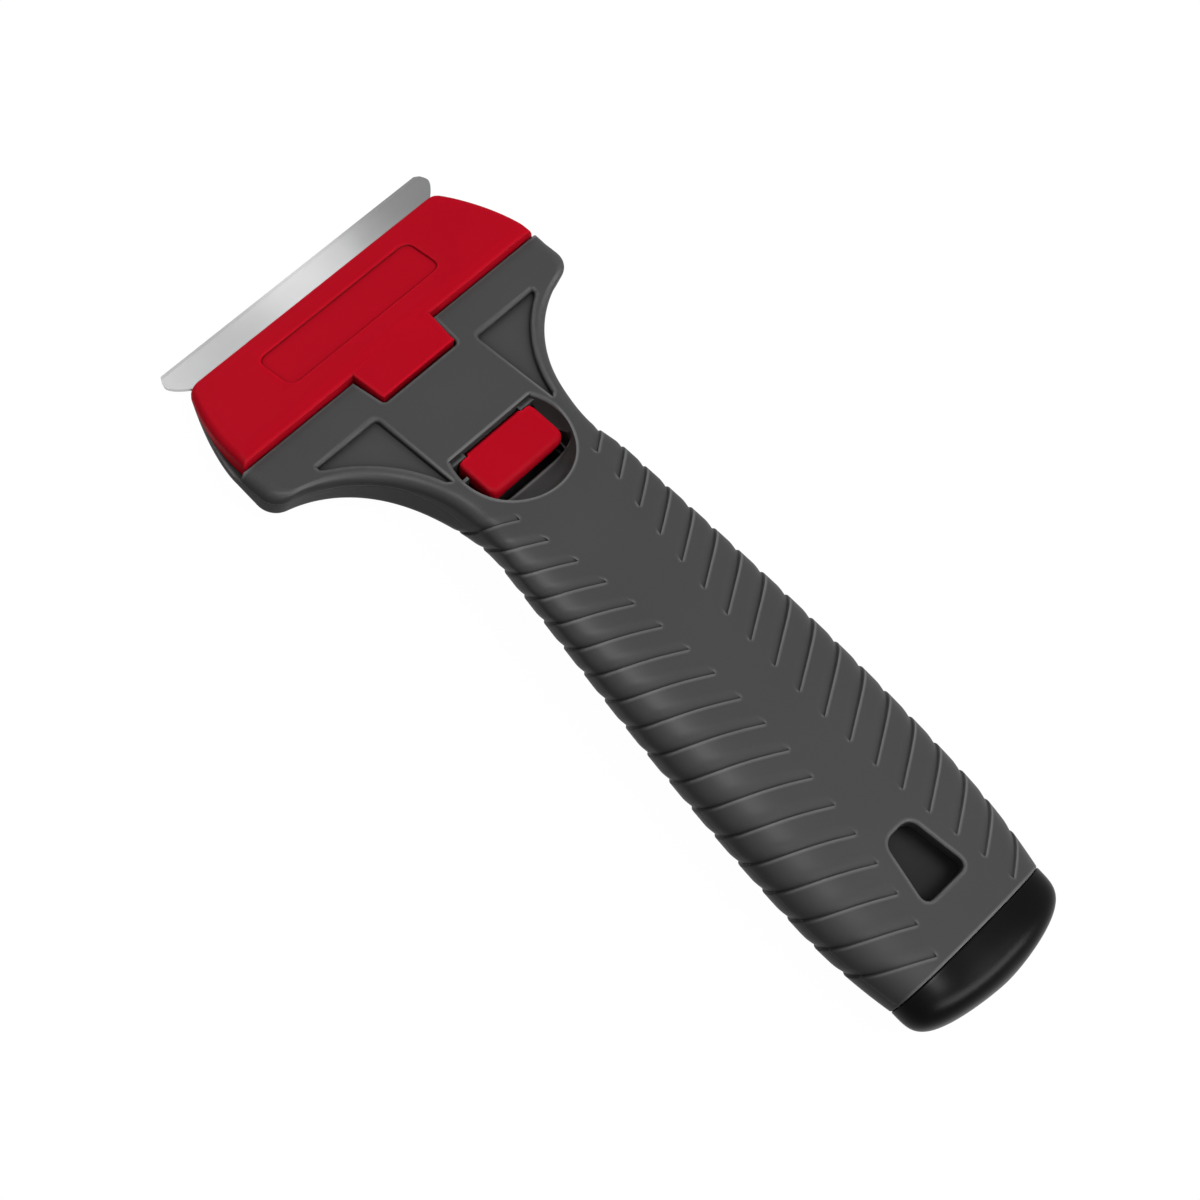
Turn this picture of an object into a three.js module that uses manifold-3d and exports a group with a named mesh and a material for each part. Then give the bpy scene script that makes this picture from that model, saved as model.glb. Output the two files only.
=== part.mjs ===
// Utility scraper: a wide steel blade clamped between a hinged lid and the lower jaw of a two-shell handle.
// Millimetres, +Z up, +X from the blade towards the end cap. The origin lies on the table under the middle.
// Body stations x are measured from the neck, heights from the table. The head has its own frame on the deck:
// p runs rearward from the deck's front edge, q sideways and h up from the deck.
import * as THREE from "three";
import { mergeVertices } from "three/addons/utils/BufferGeometryUtils.js";
import Module from "manifold-3d";

const wasm = await Module();
wasm.setup();

// Fits
const CLEARANCE = 0.3; // between pieces that touch or run on each other
const SEAM_GAP = 0.3; // between the two shells
const WALL = 2.4; // wall of the hollow handle

// Handle
const HANDLE_LENGTH = 101.2; // neck to the end cap's seam
const NECK_HALF_WIDTH = 14.45;
const GRIP_HALF_WIDTH = 20.3;
const GRIP_SHARE = 0.8; // where the grip is widest, as a share of the handle's length
const END_HALF_WIDTH = 18.2;
const HANDLE_TOP = 21; // top line at the neck and at the cap
const GRIP_SWELL = 1.6; // rise of the top line at mid grip
const SEAM_HEIGHT = 12.5; // seam of the shells
const WIDEST_AT_NECK = 16.9; // height of the section's widest line
const WIDEST_AT_CAP = 10.8;
const NECK_CLEARANCE = 3.5; // underside above the table at the neck
const END_CLEARANCE = 1.2; // underside above the table at the cap
const BELLY_FLAT = 0.6; // depth of belly cut away by the resting flat
const GRIP_FROM_X = -13; // head's section ends
const GRIP_FULL_X = 7; // grip's section begins
const CROWN_POWER = 2.5; // squareness of the grip's upper section
const SIDE_POWER = 2.2; // fullness of the grip's sides

// Chevron grooves on the grip
const GROOVE_COUNT = 18;
const GROOVE_DEPTH = 0.4;
const GROOVE_RAMP = 1.5; // slope down into a groove
const GROOVE_STEP = 0.4; // steep way out of it
const GROOVE_RAKE = THREE.MathUtils.degToRad(30);
const GROOVE_EASE = 0.012; // how soon the rake fades down the sides, per mm
const GROOVE_MARGIN = 1.9; // last groove to the cap's seam
const BAND_WAIST = 4.15; // half width of the smooth band at mid grip
const BAND_END = 9.95; // half width of the smooth band at both ends

// Head
const HEAD_TILT = THREE.MathUtils.degToRad(15.8);
const DECK_LENGTH = 39.1; // deck's front edge to the neck
const DECK_AT_NECK = 20.5; // height of the deck's plane at the neck
const HEAD_HALF_WIDTH = 36;
const SHOULDER_RADIUS = 4; // corner between the deck's side and the flank
const FLANK_RADIUS = 24.5; // hollow between shoulder and neck
const NECK_X = -4.9; // narrowest place
const DECK_FILLET = 2.8;
const CHEEK_HEIGHT = 2.7; // deck to the widest line at the deck's front edge
const CHEEK_WALL = 1.2; // upright wall below the widest line
const JAW_REACH = 17.6; // lower jaw ahead of the deck
const JAW_FRONT_HALF_WIDTH = 29.6;
const JAW_FLAT = 0.4; // depth of jaw cut away by the resting flat

// Blade and its clamp
const BLADE_WIDTH = 63.5;
const BLADE_EDGE_WIDTH = 61.2;
const BLADE_TANG_WIDTH = 57;
const BLADE_LENGTH = 19;
const BLADE_THICKNESS = 0.6;
const BLADE_REACH = 25.1; // cutting edge ahead of the deck
const BLADE_BEVEL = 1.6;
const SEAT_DEPTH = 2.75; // blade seat below the deck, in the plane of the head's seam
const PEG_RADIUS = 1.3;
const PEG_P = -12.5;
const PEG_Q = 16;
const PEG_SINK = 2; // peg into the jaw
const PEG_RISE = 0.9; // peg above the blade

// Lid
const LID_REACH = 18.95;
const LID_FRONT_HALF_WIDTH = 29.5;
const LID_REAR_HALF_WIDTH = 34.8;
const LID_CORNER = 1;
const LID_END_FILLET = 1.5; // rounding along the lid's ends
const LID_FRONT_HEIGHT = -0.4; // lid's top at its front edge, from the deck
const LID_RIDGE_P = -2.4;
const LID_RIDGE_HEIGHT = 1.65;
const TAB_HEIGHT = 0.7; // lid's top at the tab's rear edge
const PANEL_LENGTH = 8.4;
const PANEL_WIDTH = 36;
const PANEL_P = -10.3;
const PANEL_DEPTH = 0.35;
const NOTCH_LENGTH = 6.75;
const NOTCH_FRONT_HALF_WIDTH = 9.6;
const NOTCH_REAR_HALF_WIDTH = 8.85;
const TAB_REAR_GAP = 0.55; // room for the tab to swing

// Hinge, lever and button
const BRIDGE_THICKNESS = 1.8;
const PIN_RADIUS = 1;
const PIN_P = 9.5;
const PIN_HALF_LENGTH = 15.2;
const BARREL_RADIUS = 1.75;
const LEVER_HALF_WIDTH = 8.2;
const LEVER_THICKNESS = 1.9;
const LEVER_END_P = 31;
const LEVER_STEP_P = 20.5;
const LEVER_DROP = 2.5; // step down of the lever under the button
const LEVER_RELIEF = 0.6; // lever's top cut down ahead of the pin, to clear the bridge when the lid opens
const CHANNEL_HALF_WIDTH = 9.2;
const RECESS_RADIUS = 11.5; // rim of the dish around the button
const RECESS_P = 28;
const RECESS_FRONT_P = 22.9;
const SCOOP_DEPTH = 4.5;
const SCOOP_POWER = 9; // steepness of the dish's wall
const WELL_REAR_P = 33.4;
const WELL_HALF_WIDTH = 9.5;
const BUTTON_FRONT_P = 23.3;
const BUTTON_REAR_P = 32.2;
const BUTTON_HALF_WIDTH = 8.8;
const BUTTON_FRONT_HEIGHT = -0.6;
const BUTTON_REAR_HEIGHT = -1.4;
const BUTTON_TRAVEL = 3.3;
const BUTTON_NOTCH = 0.8; // depth of the cut of its front corners around the guide ribs
const BUTTON_NOTCH_WIDTH = 2.5;
const BUTTON_RIB_P = 28.4; // rib that bears on the lever
const BUTTON_RIB_WIDTH = 2;
const BUTTON_SKIRT = 3.3; // underside of the button below the deck
const RECESS_RIM = 3; // rim between a triangular recess and the flank
const TRIANGLE_FRONT_P = 8.1;
const TRIANGLE_INNER_Q = 12.3;
const TRIANGLE_REAR_P = 25.8;
const TRIANGLE_DEPTH = 1;

// Spring
const SPRING_RADIUS = 3.2;
const SPRING_WIRE = 0.7;
const SPRING_TURNS = 3;
const SPRING_P = 25;
const CHANNEL_FLOOR = 5; // floor of the lever's channel above the table
const SPRING_SINK = 0.7; // spring's pocket in that floor
const SPRING_HEIGHT = 5;
const SPRING_POCKET = 4.2; // radius of the pocket

// Window, blade store and cap
const WINDOW_SETBACK = 8.8; // window's rear edge to the cap's seam
const WINDOW_LENGTH = 12.3;
const WINDOW_FRONT_HALF_WIDTH = 3.1;
const WINDOW_REAR_HALF_WIDTH = 5.3;
const WINDOW_CORNER = 2;
const WINDOW_DEPTH = 5.3; // rim to the tray's top
const CAP_LENGTH = 9.6;
const SPIGOT_LENGTH = 6;
const TRAY_FRONT_X = 26;
const TRAY_SIDE = 1;
const TRAY_TOP = 1.8;
const TRAY_FLOOR = 1.8;
const TRAY_ENGAGE = 1.8; // tray into the cap
const SPARE_COUNT = 5;
const RAIL_WIDTH = 1.6;
const RAIL_Y = 8;

// Shell screws
const SCREW_RADIUS = 1.1;
const SCREW_HEAD_RADIUS = 2.1;
const SCREW_HEAD_HEIGHT = 1.6;
const SCREW_SEAT = 6.6; // underside of the heads' seats above the table
const SCREW_GRIP = 1.9; // screw into the upper shell
const BOSS_RADIUS = 2.2;
const NECK_SCREW = { x: -15, y: 12.3 };
const FRONT_SCREW = { x: 16, y: 8 };
const REAR_SCREW = { x: HANDLE_LENGTH - 17.2, y: 13.4 };

// Materials
const GREY_PLASTIC = { color: 0x484848, roughness: 0.55, metalness: 0 };
const DARK_PLASTIC = { color: 0x2b2b2b, roughness: 0.5, metalness: 0 };
const BLACK_PLASTIC = { color: 0x1e1e1e, roughness: 0.25, metalness: 0 };
const RED_PLASTIC = { color: 0xad0f21, roughness: 0.4, metalness: 0 };
const BLADE_STEEL = { color: 0xbcc2c0, roughness: 0.3, metalness: 1 };
const PLATED_STEEL = { color: 0x9a9da0, roughness: 0.35, metalness: 1 };

// Derived places
const DECK_FRONT_X = -DECK_LENGTH * Math.cos(HEAD_TILT);
const DECK_FRONT_Z = DECK_AT_NECK - DECK_LENGTH * Math.sin(HEAD_TILT);
const JAW_FRONT_X = DECK_FRONT_X - JAW_REACH * Math.cos(HEAD_TILT);
const SHOULDER_X = NECK_X - Math.sqrt(
  (FLANK_RADIUS + SHOULDER_RADIUS) ** 2 -
    (NECK_HALF_WIDTH + FLANK_RADIUS - HEAD_HALF_WIDTH + SHOULDER_RADIUS) ** 2,
);
const GRIP_X = GRIP_SHARE * HANDLE_LENGTH;
const WINDOW_REAR_X = HANDLE_LENGTH - WINDOW_SETBACK;
const WINDOW_FRONT_X = WINDOW_REAR_X - WINDOW_LENGTH;
const GROOVE_PITCH = (HANDLE_LENGTH - GROOVE_MARGIN) / (GROOVE_COUNT - 1);
const CAP_FRONT_X = HANDLE_LENGTH + CLEARANCE;
const CAP_END_X = CAP_FRONT_X + CAP_LENGTH;
const BLADE_HEIGHT = -SEAT_DEPTH + CLEARANCE / 6; // blade's underside from the deck
const LID_BASE = -SEAT_DEPTH + CLEARANCE;
const LID_REAR_P = -CLEARANCE - 0.1;
const LEVER_TOP = -BRIDGE_THICKNESS - CLEARANCE;
const HEAD_FRAME = new THREE.Matrix4().makeRotationY(-HEAD_TILT).setPosition(DECK_FRONT_X, 0, DECK_FRONT_Z);
const BLADE_EDGE_X = new THREE.Vector3(-BLADE_REACH, 0, BLADE_HEIGHT).applyMatrix4(HEAD_FRAME).x;
const MIDDLE_X = (BLADE_EDGE_X + CAP_END_X) / 2;
const SPRING_X = new THREE.Vector3(SPRING_P, 0, 0).applyMatrix4(HEAD_FRAME).x;
const SPRING_FLOOR = CHANNEL_FLOOR - SPRING_SINK;

// Solids

function solidOf(geometry) {
  geometry.deleteAttribute("normal");
  geometry.deleteAttribute("uv");
  const merged = mergeVertices(geometry, 1e-4);
  return new wasm.Manifold(
    new wasm.Mesh({
      numProp: 3,
      vertProperties: new Float32Array(merged.attributes.position.array),
      triVerts: new Uint32Array(merged.index.array),
    }),
  );
}

function geometryOf(solid) {
  const mesh = solid.getMesh();
  return new THREE.BufferGeometry()
    .setAttribute("position", new THREE.BufferAttribute(new Float32Array(mesh.vertProperties), 3))
    .setIndex(new THREE.BufferAttribute(new Uint32Array(mesh.triVerts), 1));
}

function joined(solids) {
  return solids.reduce((whole, next) => whole.add(next));
}

function cut(solid, tools) {
  return tools.reduce((rest, tool) => rest.subtract(tool), solid);
}

function boxSolid(x0, x1, y0, y1, z0, z1, frame) {
  const geometry = new THREE.BoxGeometry(x1 - x0, y1 - y0, z1 - z0);
  geometry.translate((x0 + x1) / 2, (y0 + y1) / 2, (z0 + z1) / 2);
  return solidOf(frame ? geometry.applyMatrix4(frame) : geometry);
}

// A plan outline of [x, y] points, upright between two heights.
function planSolid(points, z0, z1, frame) {
  const shape = new THREE.Shape(points.map(([x, y]) => new THREE.Vector2(x, y)));
  const geometry = new THREE.ExtrudeGeometry(shape, { depth: z1 - z0, bevelEnabled: false });
  geometry.translate(0, 0, z0);
  return solidOf(frame ? geometry.applyMatrix4(frame) : geometry);
}

// A side profile of [x, z] points, as wide as twice the half width.
function profileSolid(points, halfWidth, frame) {
  const shape = new THREE.Shape(points.map(([x, z]) => new THREE.Vector2(x, z)));
  const geometry = new THREE.ExtrudeGeometry(shape, { depth: 2 * halfWidth, bevelEnabled: false });
  geometry.rotateX(Math.PI / 2).translate(0, halfWidth, 0);
  return solidOf(frame ? geometry.applyMatrix4(frame) : geometry);
}

function crossRod(radius, halfLength, x, z, sides, frame) {
  const geometry = new THREE.CylinderGeometry(radius, radius, 2 * halfLength, sides);
  geometry.translate(x, 0, z);
  return solidOf(frame ? geometry.applyMatrix4(frame) : geometry);
}

function uprightRod(radius, x, y, z0, z1, sides, frame) {
  const geometry = new THREE.CylinderGeometry(radius, radius, z1 - z0, sides).rotateX(Math.PI / 2);
  geometry.translate(x, y, (z0 + z1) / 2);
  return solidOf(frame ? geometry.applyMatrix4(frame) : geometry);
}

// Points of a corner's arc between two straight stretches, by a quadratic curve.
function roundedOutline(points, radius, steps) {
  const outline = [];
  points.forEach((corner, i) => {
    const here = new THREE.Vector2(...corner);
    const before = new THREE.Vector2(...points[(i + points.length - 1) % points.length]);
    const after = new THREE.Vector2(...points[(i + 1) % points.length]);
    const start = here.clone().add(before.sub(here).setLength(radius));
    const end = here.clone().add(after.sub(here).setLength(radius));
    const bend = new THREE.QuadraticBezierCurve(start, here, end);
    bend.getPoints(steps).forEach((point) => outline.push([point.x, point.y]));
  });
  return outline;
}

// Body lines, each a function of the station x

function softMin(a, b, width) {
  const blend = Math.max(width - Math.abs(a - b), 0) / width;
  return Math.min(a, b) - (blend * blend * width) / 4;
}

function deckHeight(x) {
  return DECK_AT_NECK + x * Math.tan(HEAD_TILT);
}

function gripTop(x) {
  const along = THREE.MathUtils.clamp(x / HANDLE_LENGTH, 0, 1);
  return HANDLE_TOP + GRIP_SWELL * Math.sin(Math.PI * along) ** 2;
}

function topHeight(x) {
  return softMin(deckHeight(x), gripTop(x), 1.6);
}

function bottomHeight(x) {
  if (x < 0) return NECK_CLEARANCE - (NECK_CLEARANCE + JAW_FLAT) * (x / JAW_FRONT_X);
  const toBelly = THREE.MathUtils.clamp(x / GRIP_X, 0, 1);
  const pastBelly = Math.max(x - GRIP_X, 0) / (HANDLE_LENGTH - GRIP_X);
  const dip = (NECK_CLEARANCE + BELLY_FLAT) * Math.sin((Math.PI / 2) * toBelly) ** 2;
  return NECK_CLEARANCE - dip + (END_CLEARANCE + BELLY_FLAT) * pastBelly ** 2;
}

function widestHeight(x) {
  const cheek = DECK_FRONT_Z - CHEEK_HEIGHT / Math.cos(HEAD_TILT);
  if (x < DECK_FRONT_X) return cheek + (x - DECK_FRONT_X) * Math.tan(HEAD_TILT);
  const along = Math.min(1 - x / DECK_FRONT_X, 1.25);
  const rising = THREE.MathUtils.lerp(cheek, WIDEST_AT_NECK, along ** 4);
  return softMin(rising, THREE.MathUtils.lerp(WIDEST_AT_NECK, WIDEST_AT_CAP, x / HANDLE_LENGTH), 3);
}

function flankHalfWidth(x, rim) {
  const radius = FLANK_RADIUS + rim;
  const reach = Math.min(Math.abs(x - NECK_X), radius);
  return NECK_HALF_WIDTH + FLANK_RADIUS - Math.sqrt(radius * radius - reach * reach);
}

function headHalfWidth(x) {
  const ahead = Math.max(DECK_FRONT_X - x, 0) / (DECK_FRONT_X - JAW_FRONT_X);
  const cheek = HEAD_HALF_WIDTH - (HEAD_HALF_WIDTH - JAW_FRONT_HALF_WIDTH) * ahead ** 1.5;
  const past = THREE.MathUtils.clamp(x - SHOULDER_X, 0, SHOULDER_RADIUS);
  return cheek - SHOULDER_RADIUS + Math.sqrt(SHOULDER_RADIUS ** 2 - past ** 2);
}

function gripHalfWidth(x) {
  const along = THREE.MathUtils.clamp((x - NECK_X) / (GRIP_X - NECK_X), 0, 1);
  const swell = (Math.sin((Math.PI / 2) * along) * along) / (along + 0.02);
  const past = Math.max(x - GRIP_X, 0) / (HANDLE_LENGTH - GRIP_X);
  const swollen = NECK_HALF_WIDTH + (GRIP_HALF_WIDTH - NECK_HALF_WIDTH) * swell;
  return swollen - (GRIP_HALF_WIDTH - END_HALF_WIDTH) * past ** 2;
}

function halfWidth(x) {
  if (x > NECK_X) return gripHalfWidth(x);
  return softMin(headHalfWidth(x), flankHalfWidth(x, 0), 0.3);
}

function bandHalfWidth(x) {
  const half = (GROOVE_PITCH * (GROOVE_COUNT - 1)) / 2;
  const along = THREE.MathUtils.clamp((x - half) / half, -1, 1);
  return BAND_WAIST + (BAND_END - BAND_WAIST) * along ** 2;
}

// One point of the body's section: turn 0 is the top centre, 1 the widest line and 2 the bottom centre.
function sectionPoint(x, turn, inset) {
  const width = halfWidth(x) - inset;
  const middle = widestHeight(x);
  const grip = THREE.MathUtils.smoothstep(x, GRIP_FROM_X, GRIP_FULL_X);
  if (turn <= 1) {
    const rise = topHeight(x) - inset - middle;
    const angle = (Math.PI / 2) * turn;
    const round = [Math.sin(angle) ** (2 / CROWN_POWER), Math.cos(angle) ** (2 / SIDE_POWER)];
    const fillet = Math.min(DECK_FILLET, 0.8 * rise);
    const flat = [Math.min(turn / 0.6, 1) * (width - fillet), rise];
    const bend = (Math.PI / 2) * THREE.MathUtils.clamp((turn - 0.6) / 0.25, 0, 1);
    flat[0] += fillet * Math.sin(bend);
    flat[1] -= fillet * (1 - Math.cos(bend));
    flat[1] *= 1 - THREE.MathUtils.clamp((turn - 0.85) / 0.15, 0, 1);
    return [
      THREE.MathUtils.lerp(flat[0], width * round[0], grip),
      middle + THREE.MathUtils.lerp(flat[1], rise * round[1], grip),
    ];
  }
  const wall = CHEEK_WALL * (1 - grip);
  const share = 0.12 * (1 - grip);
  const down = turn - 1;
  if (down < share) return [width, middle - (wall * down) / share];
  const angle = (Math.PI / 2) * Math.min((down - share) / (1 - share), 1);
  const fall = middle - wall - bottomHeight(x) - inset;
  return [
    width * Math.max(Math.cos(angle), 0) ** (2 / CROWN_POWER),
    middle - wall - fall * Math.sin(angle) ** (2 / SIDE_POWER),
  ];
}

// Where the smooth band ends on the section, as a turn.
function bandTurn(x) {
  const share = bandHalfWidth(x) / gripHalfWidth(Math.max(x, 0));
  return Math.asin(share ** (CROWN_POWER / 2)) / (Math.PI / 2);
}

// Ring of points around the body. Its rows lean forward on the sides, along the chevrons.
function bodyRing(station, inset, lean, depth) {
  const band = bandTurn(Math.max(station, 0));
  const upper = [0, band * 0.6, band, band + 0.03];
  for (let i = 1; i <= 4; i++) upper.push(band + 0.03 + ((1 - band - 0.03) * i) / 4);
  const lower = [1.12, 1.3, 1.45, 1.6, 1.75, 1.9, 2];
  const turns = [...upper, ...lower];
  const flat = turns.map((turn) => sectionPoint(station, turn, inset));
  let run = 0;
  const side = turns.map((turn, i) => {
    if (turn > band + 0.03 && turn < 1.5) {
      run += Math.hypot(flat[i][0] - flat[i - 1][0], flat[i][1] - flat[i - 1][1]);
    }
    const x = station - lean * Math.tan(GROOVE_RAKE) * run * (1 - GROOVE_EASE * run);
    const sunk = turn > band && turn < 1.7 ? depth : 0;
    const [y, z] = sectionPoint(x, turn, inset);
    const before = sectionPoint(x, Math.max(turn - 0.01, 0), inset);
    const after = sectionPoint(x, Math.min(turn + 0.01, 2), inset);
    const along = new THREE.Vector2(after[0] - before[0], after[1] - before[1]).normalize();
    return new THREE.Vector3(x, y + sunk * along.y, z - sunk * along.x);
  });
  const mirrored = side.slice(1, -1).reverse().map((point) => new THREE.Vector3(point.x, -point.y, point.z));
  return [...side, ...mirrored];
}

// Closed skin over a row of rings, with flat ends.
function loftSolid(rings) {
  const count = rings[0].length;
  const points = rings.flat();
  const faces = [];
  for (let i = 0; i + 1 < rings.length; i++) {
    for (let j = 0; j < count; j++) {
      const a = i * count + j;
      const b = i * count + ((j + 1) % count);
      faces.push(a, a + count, b, b, a + count, b + count);
    }
  }
  [0, rings.length - 1].forEach((end) => {
    const centre = points.length;
    const ring = rings[end];
    points.push(ring.reduce((sum, point) => sum.add(point), new THREE.Vector3()).divideScalar(count));
    for (let j = 0; j < count; j++) {
      const here = end * count + j;
      const next = end * count + ((j + 1) % count);
      if (end === 0) faces.push(centre, here, next);
      else faces.push(centre, next, here);
    }
  });
  return solidOf(new THREE.BufferGeometry().setFromPoints(points).setIndex(faces));
}

function bodyRows() {
  const rows = [];
  const row = (station, lean, depth) => rows.push(bodyRing(station, 0, lean, depth));
  for (let i = 0; i <= 6; i++) row(THREE.MathUtils.lerp(JAW_FRONT_X, SHOULDER_X, i / 6), 0, 0);
  for (let i = 1; i <= 6; i++) row(SHOULDER_X + (SHOULDER_RADIUS + 0.6) * (i / 6), 0, 0);
  const flankX = SHOULDER_X + SHOULDER_RADIUS + 0.6;
  for (let i = 1; i <= 5; i++) row(THREE.MathUtils.lerp(flankX, GRIP_FROM_X, i / 5), 0, 0);
  [0.25, 0.5, 0.75].forEach((share) => row(GRIP_FROM_X * (1 - share), share, 0));
  for (let k = 0; k < GROOVE_COUNT; k++) {
    const station = k * GROOVE_PITCH;
    row(station - GROOVE_RAMP, 1, 0);
    row(station, 1, GROOVE_DEPTH);
    row(station + GROOVE_STEP, 1, 0);
  }
  row(HANDLE_LENGTH, 0, 0);
  return rows;
}

function cavityRows(fromX, toX, inset) {
  const count = Math.max(2, Math.round((toX - fromX) / 9));
  const rows = [];
  for (let i = 0; i <= count; i++) {
    rows.push(bodyRing(THREE.MathUtils.lerp(fromX, toX, i / count), inset, 0, 0));
  }
  return rows;
}

// Cutters shared by the shells

const FAR = 200;

// Everything above or below the seam, which follows the blade seat in the head and is level in the handle.
function seamSide(upwards) {
  const offset = upwards ? SEAM_GAP / 2 : -SEAM_GAP / 2;
  const seatDrop = SEAT_DEPTH / Math.cos(HEAD_TILT);
  const kinkX = (SEAM_HEIGHT - DECK_AT_NECK + seatDrop) / Math.tan(HEAD_TILT);
  const seam = [-FAR, kinkX, FAR].map((x) => [x, Math.min(deckHeight(x) - seatDrop, SEAM_HEIGHT) + offset]);
  const limit = upwards ? FAR : -FAR;
  return profileSolid([...seam, [FAR, limit], [-FAR, limit]], FAR);
}

function screwPlaces() {
  return [NECK_SCREW, FRONT_SCREW, REAR_SCREW].flatMap(({ x, y }) => [
    { x, y: -y },
    { x, y },
  ]);
}

function bossPlaces() {
  return screwPlaces().filter(({ x }) => x > 0);
}

function pinGroove() {
  const radius = PIN_RADIUS + CLEARANCE / 2;
  return crossRod(radius, PIN_HALF_LENGTH + CLEARANCE, PIN_P, -SEAT_DEPTH, 16, HEAD_FRAME);
}

function handleCavity() {
  return loftSolid(cavityRows(GROOVE_PITCH + WALL / 2, HANDLE_LENGTH + 1, WALL));
}

const body = loftSolid(bodyRows());
const cavity = handleCavity();

// Upper shell: the deck with the lid's notch, the bridge over the lever, the button's recess and the window

function notchOutline(extra) {
  return [
    [-FAR, NOTCH_FRONT_HALF_WIDTH + extra],
    [-FAR, -NOTCH_FRONT_HALF_WIDTH - extra],
    [0, -NOTCH_FRONT_HALF_WIDTH - extra],
    [NOTCH_LENGTH, -NOTCH_REAR_HALF_WIDTH - extra],
    [NOTCH_LENGTH, NOTCH_REAR_HALF_WIDTH + extra],
    [0, NOTCH_FRONT_HALF_WIDTH + extra],
  ];
}

function triangleOutline(sign) {
  const points = [[TRIANGLE_FRONT_P, sign * TRIANGLE_INNER_Q]];
  const steps = 6;
  for (let i = 0; i <= steps; i++) {
    const p = THREE.MathUtils.lerp(TRIANGLE_FRONT_P, TRIANGLE_REAR_P, i / steps);
    const x = DECK_FRONT_X + p * Math.cos(HEAD_TILT);
    points.push([p, sign * Math.max(flankHalfWidth(x, RECESS_RIM), TRIANGLE_INNER_Q)]);
  }
  return points;
}

// Dish around the button: a shallow bowl with a straight front edge.
function recessTool() {
  const rings = 7;
  const profile = [];
  for (let i = 0; i <= rings; i++) {
    const share = Math.sin(((Math.PI / 2) * i) / rings);
    profile.push(new THREE.Vector2(RECESS_RADIUS * share, SCOOP_DEPTH * (share ** SCOOP_POWER - 1)));
  }
  profile.push(new THREE.Vector2(RECESS_RADIUS, 2), new THREE.Vector2(0, 2));
  const bowl = new THREE.LatheGeometry(profile, 32).rotateX(Math.PI / 2).translate(RECESS_P, 0, 0);
  return solidOf(bowl.applyMatrix4(HEAD_FRAME)).intersect(
    boxSolid(RECESS_FRONT_P, FAR, -FAR, FAR, -FAR / 4, FAR / 4, HEAD_FRAME),
  );
}

function windowOutline() {
  const corners = [
    [WINDOW_FRONT_X, -WINDOW_FRONT_HALF_WIDTH],
    [WINDOW_REAR_X, -WINDOW_REAR_HALF_WIDTH],
    [WINDOW_REAR_X, WINDOW_REAR_HALF_WIDTH],
    [WINDOW_FRONT_X, WINDOW_FRONT_HALF_WIDTH],
  ];
  return roundedOutline(corners, WINDOW_CORNER, 3);
}

function guideRibs() {
  const ribs = [-1, 1].map((sign) => {
    const inner = sign * (BUTTON_HALF_WIDTH - BUTTON_NOTCH_WIDTH + CLEARANCE);
    const outer = sign * (WELL_HALF_WIDTH + 0.5);
    const low = Math.min(inner, outer);
    const high = Math.max(inner, outer);
    const rear = BUTTON_FRONT_P + BUTTON_NOTCH - CLEARANCE;
    const top = BUTTON_FRONT_HEIGHT - 0.3;
    return boxSolid(RECESS_FRONT_P - 0.5, rear, low, high, -SCOOP_DEPTH - 0.5, top, HEAD_FRAME);
  });
  return joined(ribs);
}

function upperShell() {
  const above = seamSide(true);
  const bosses = bossPlaces().map(({ x, y }) => uprightRod(BOSS_RADIUS, x, y, 0, FAR, 12));
  const hollow = cut(cavity, bosses);
  const blank = cut(body.intersect(above), [hollow, boxSolid(-FAR, 0, -FAR, FAR, -FAR, FAR, HEAD_FRAME)]);
  const lever = boxSolid(
    NOTCH_LENGTH - 2,
    WELL_REAR_P,
    -CHANNEL_HALF_WIDTH,
    CHANNEL_HALF_WIDTH,
    -FAR / 4,
    -BRIDGE_THICKNESS,
    HEAD_FRAME,
  );
  const tools = [
    planSolid(notchOutline(0), -FAR / 4, FAR / 4, HEAD_FRAME),
    lever,
    recessTool(),
    boxSolid(RECESS_FRONT_P, WELL_REAR_P, -WELL_HALF_WIDTH, WELL_HALF_WIDTH, -FAR / 4, 0, HEAD_FRAME),
    ...[-1, 1].map((sign) => planSolid(triangleOutline(sign), -TRIANGLE_DEPTH, 2, HEAD_FRAME)),
    crossRod(BARREL_RADIUS + CLEARANCE, CHANNEL_HALF_WIDTH, PIN_P, -SEAT_DEPTH, 16, HEAD_FRAME),
    pinGroove(),
    planSolid(windowOutline(), trayTop() - 2, FAR),
    ...screwPlaces().map(({ x, y }) =>
      uprightRod(SCREW_RADIUS + CLEARANCE / 2, x, y, 0, SEAM_HEIGHT + SCREW_GRIP + CLEARANCE, 12),
    ),
  ];
  const shell = cut(blank, tools);
  const ribs = guideRibs().intersect(above);
  return shell.add(ribs);
}

// Lower shell: the handle's other half, with the jaw, the lever's channel, the tray's rails and screw bosses

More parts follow.
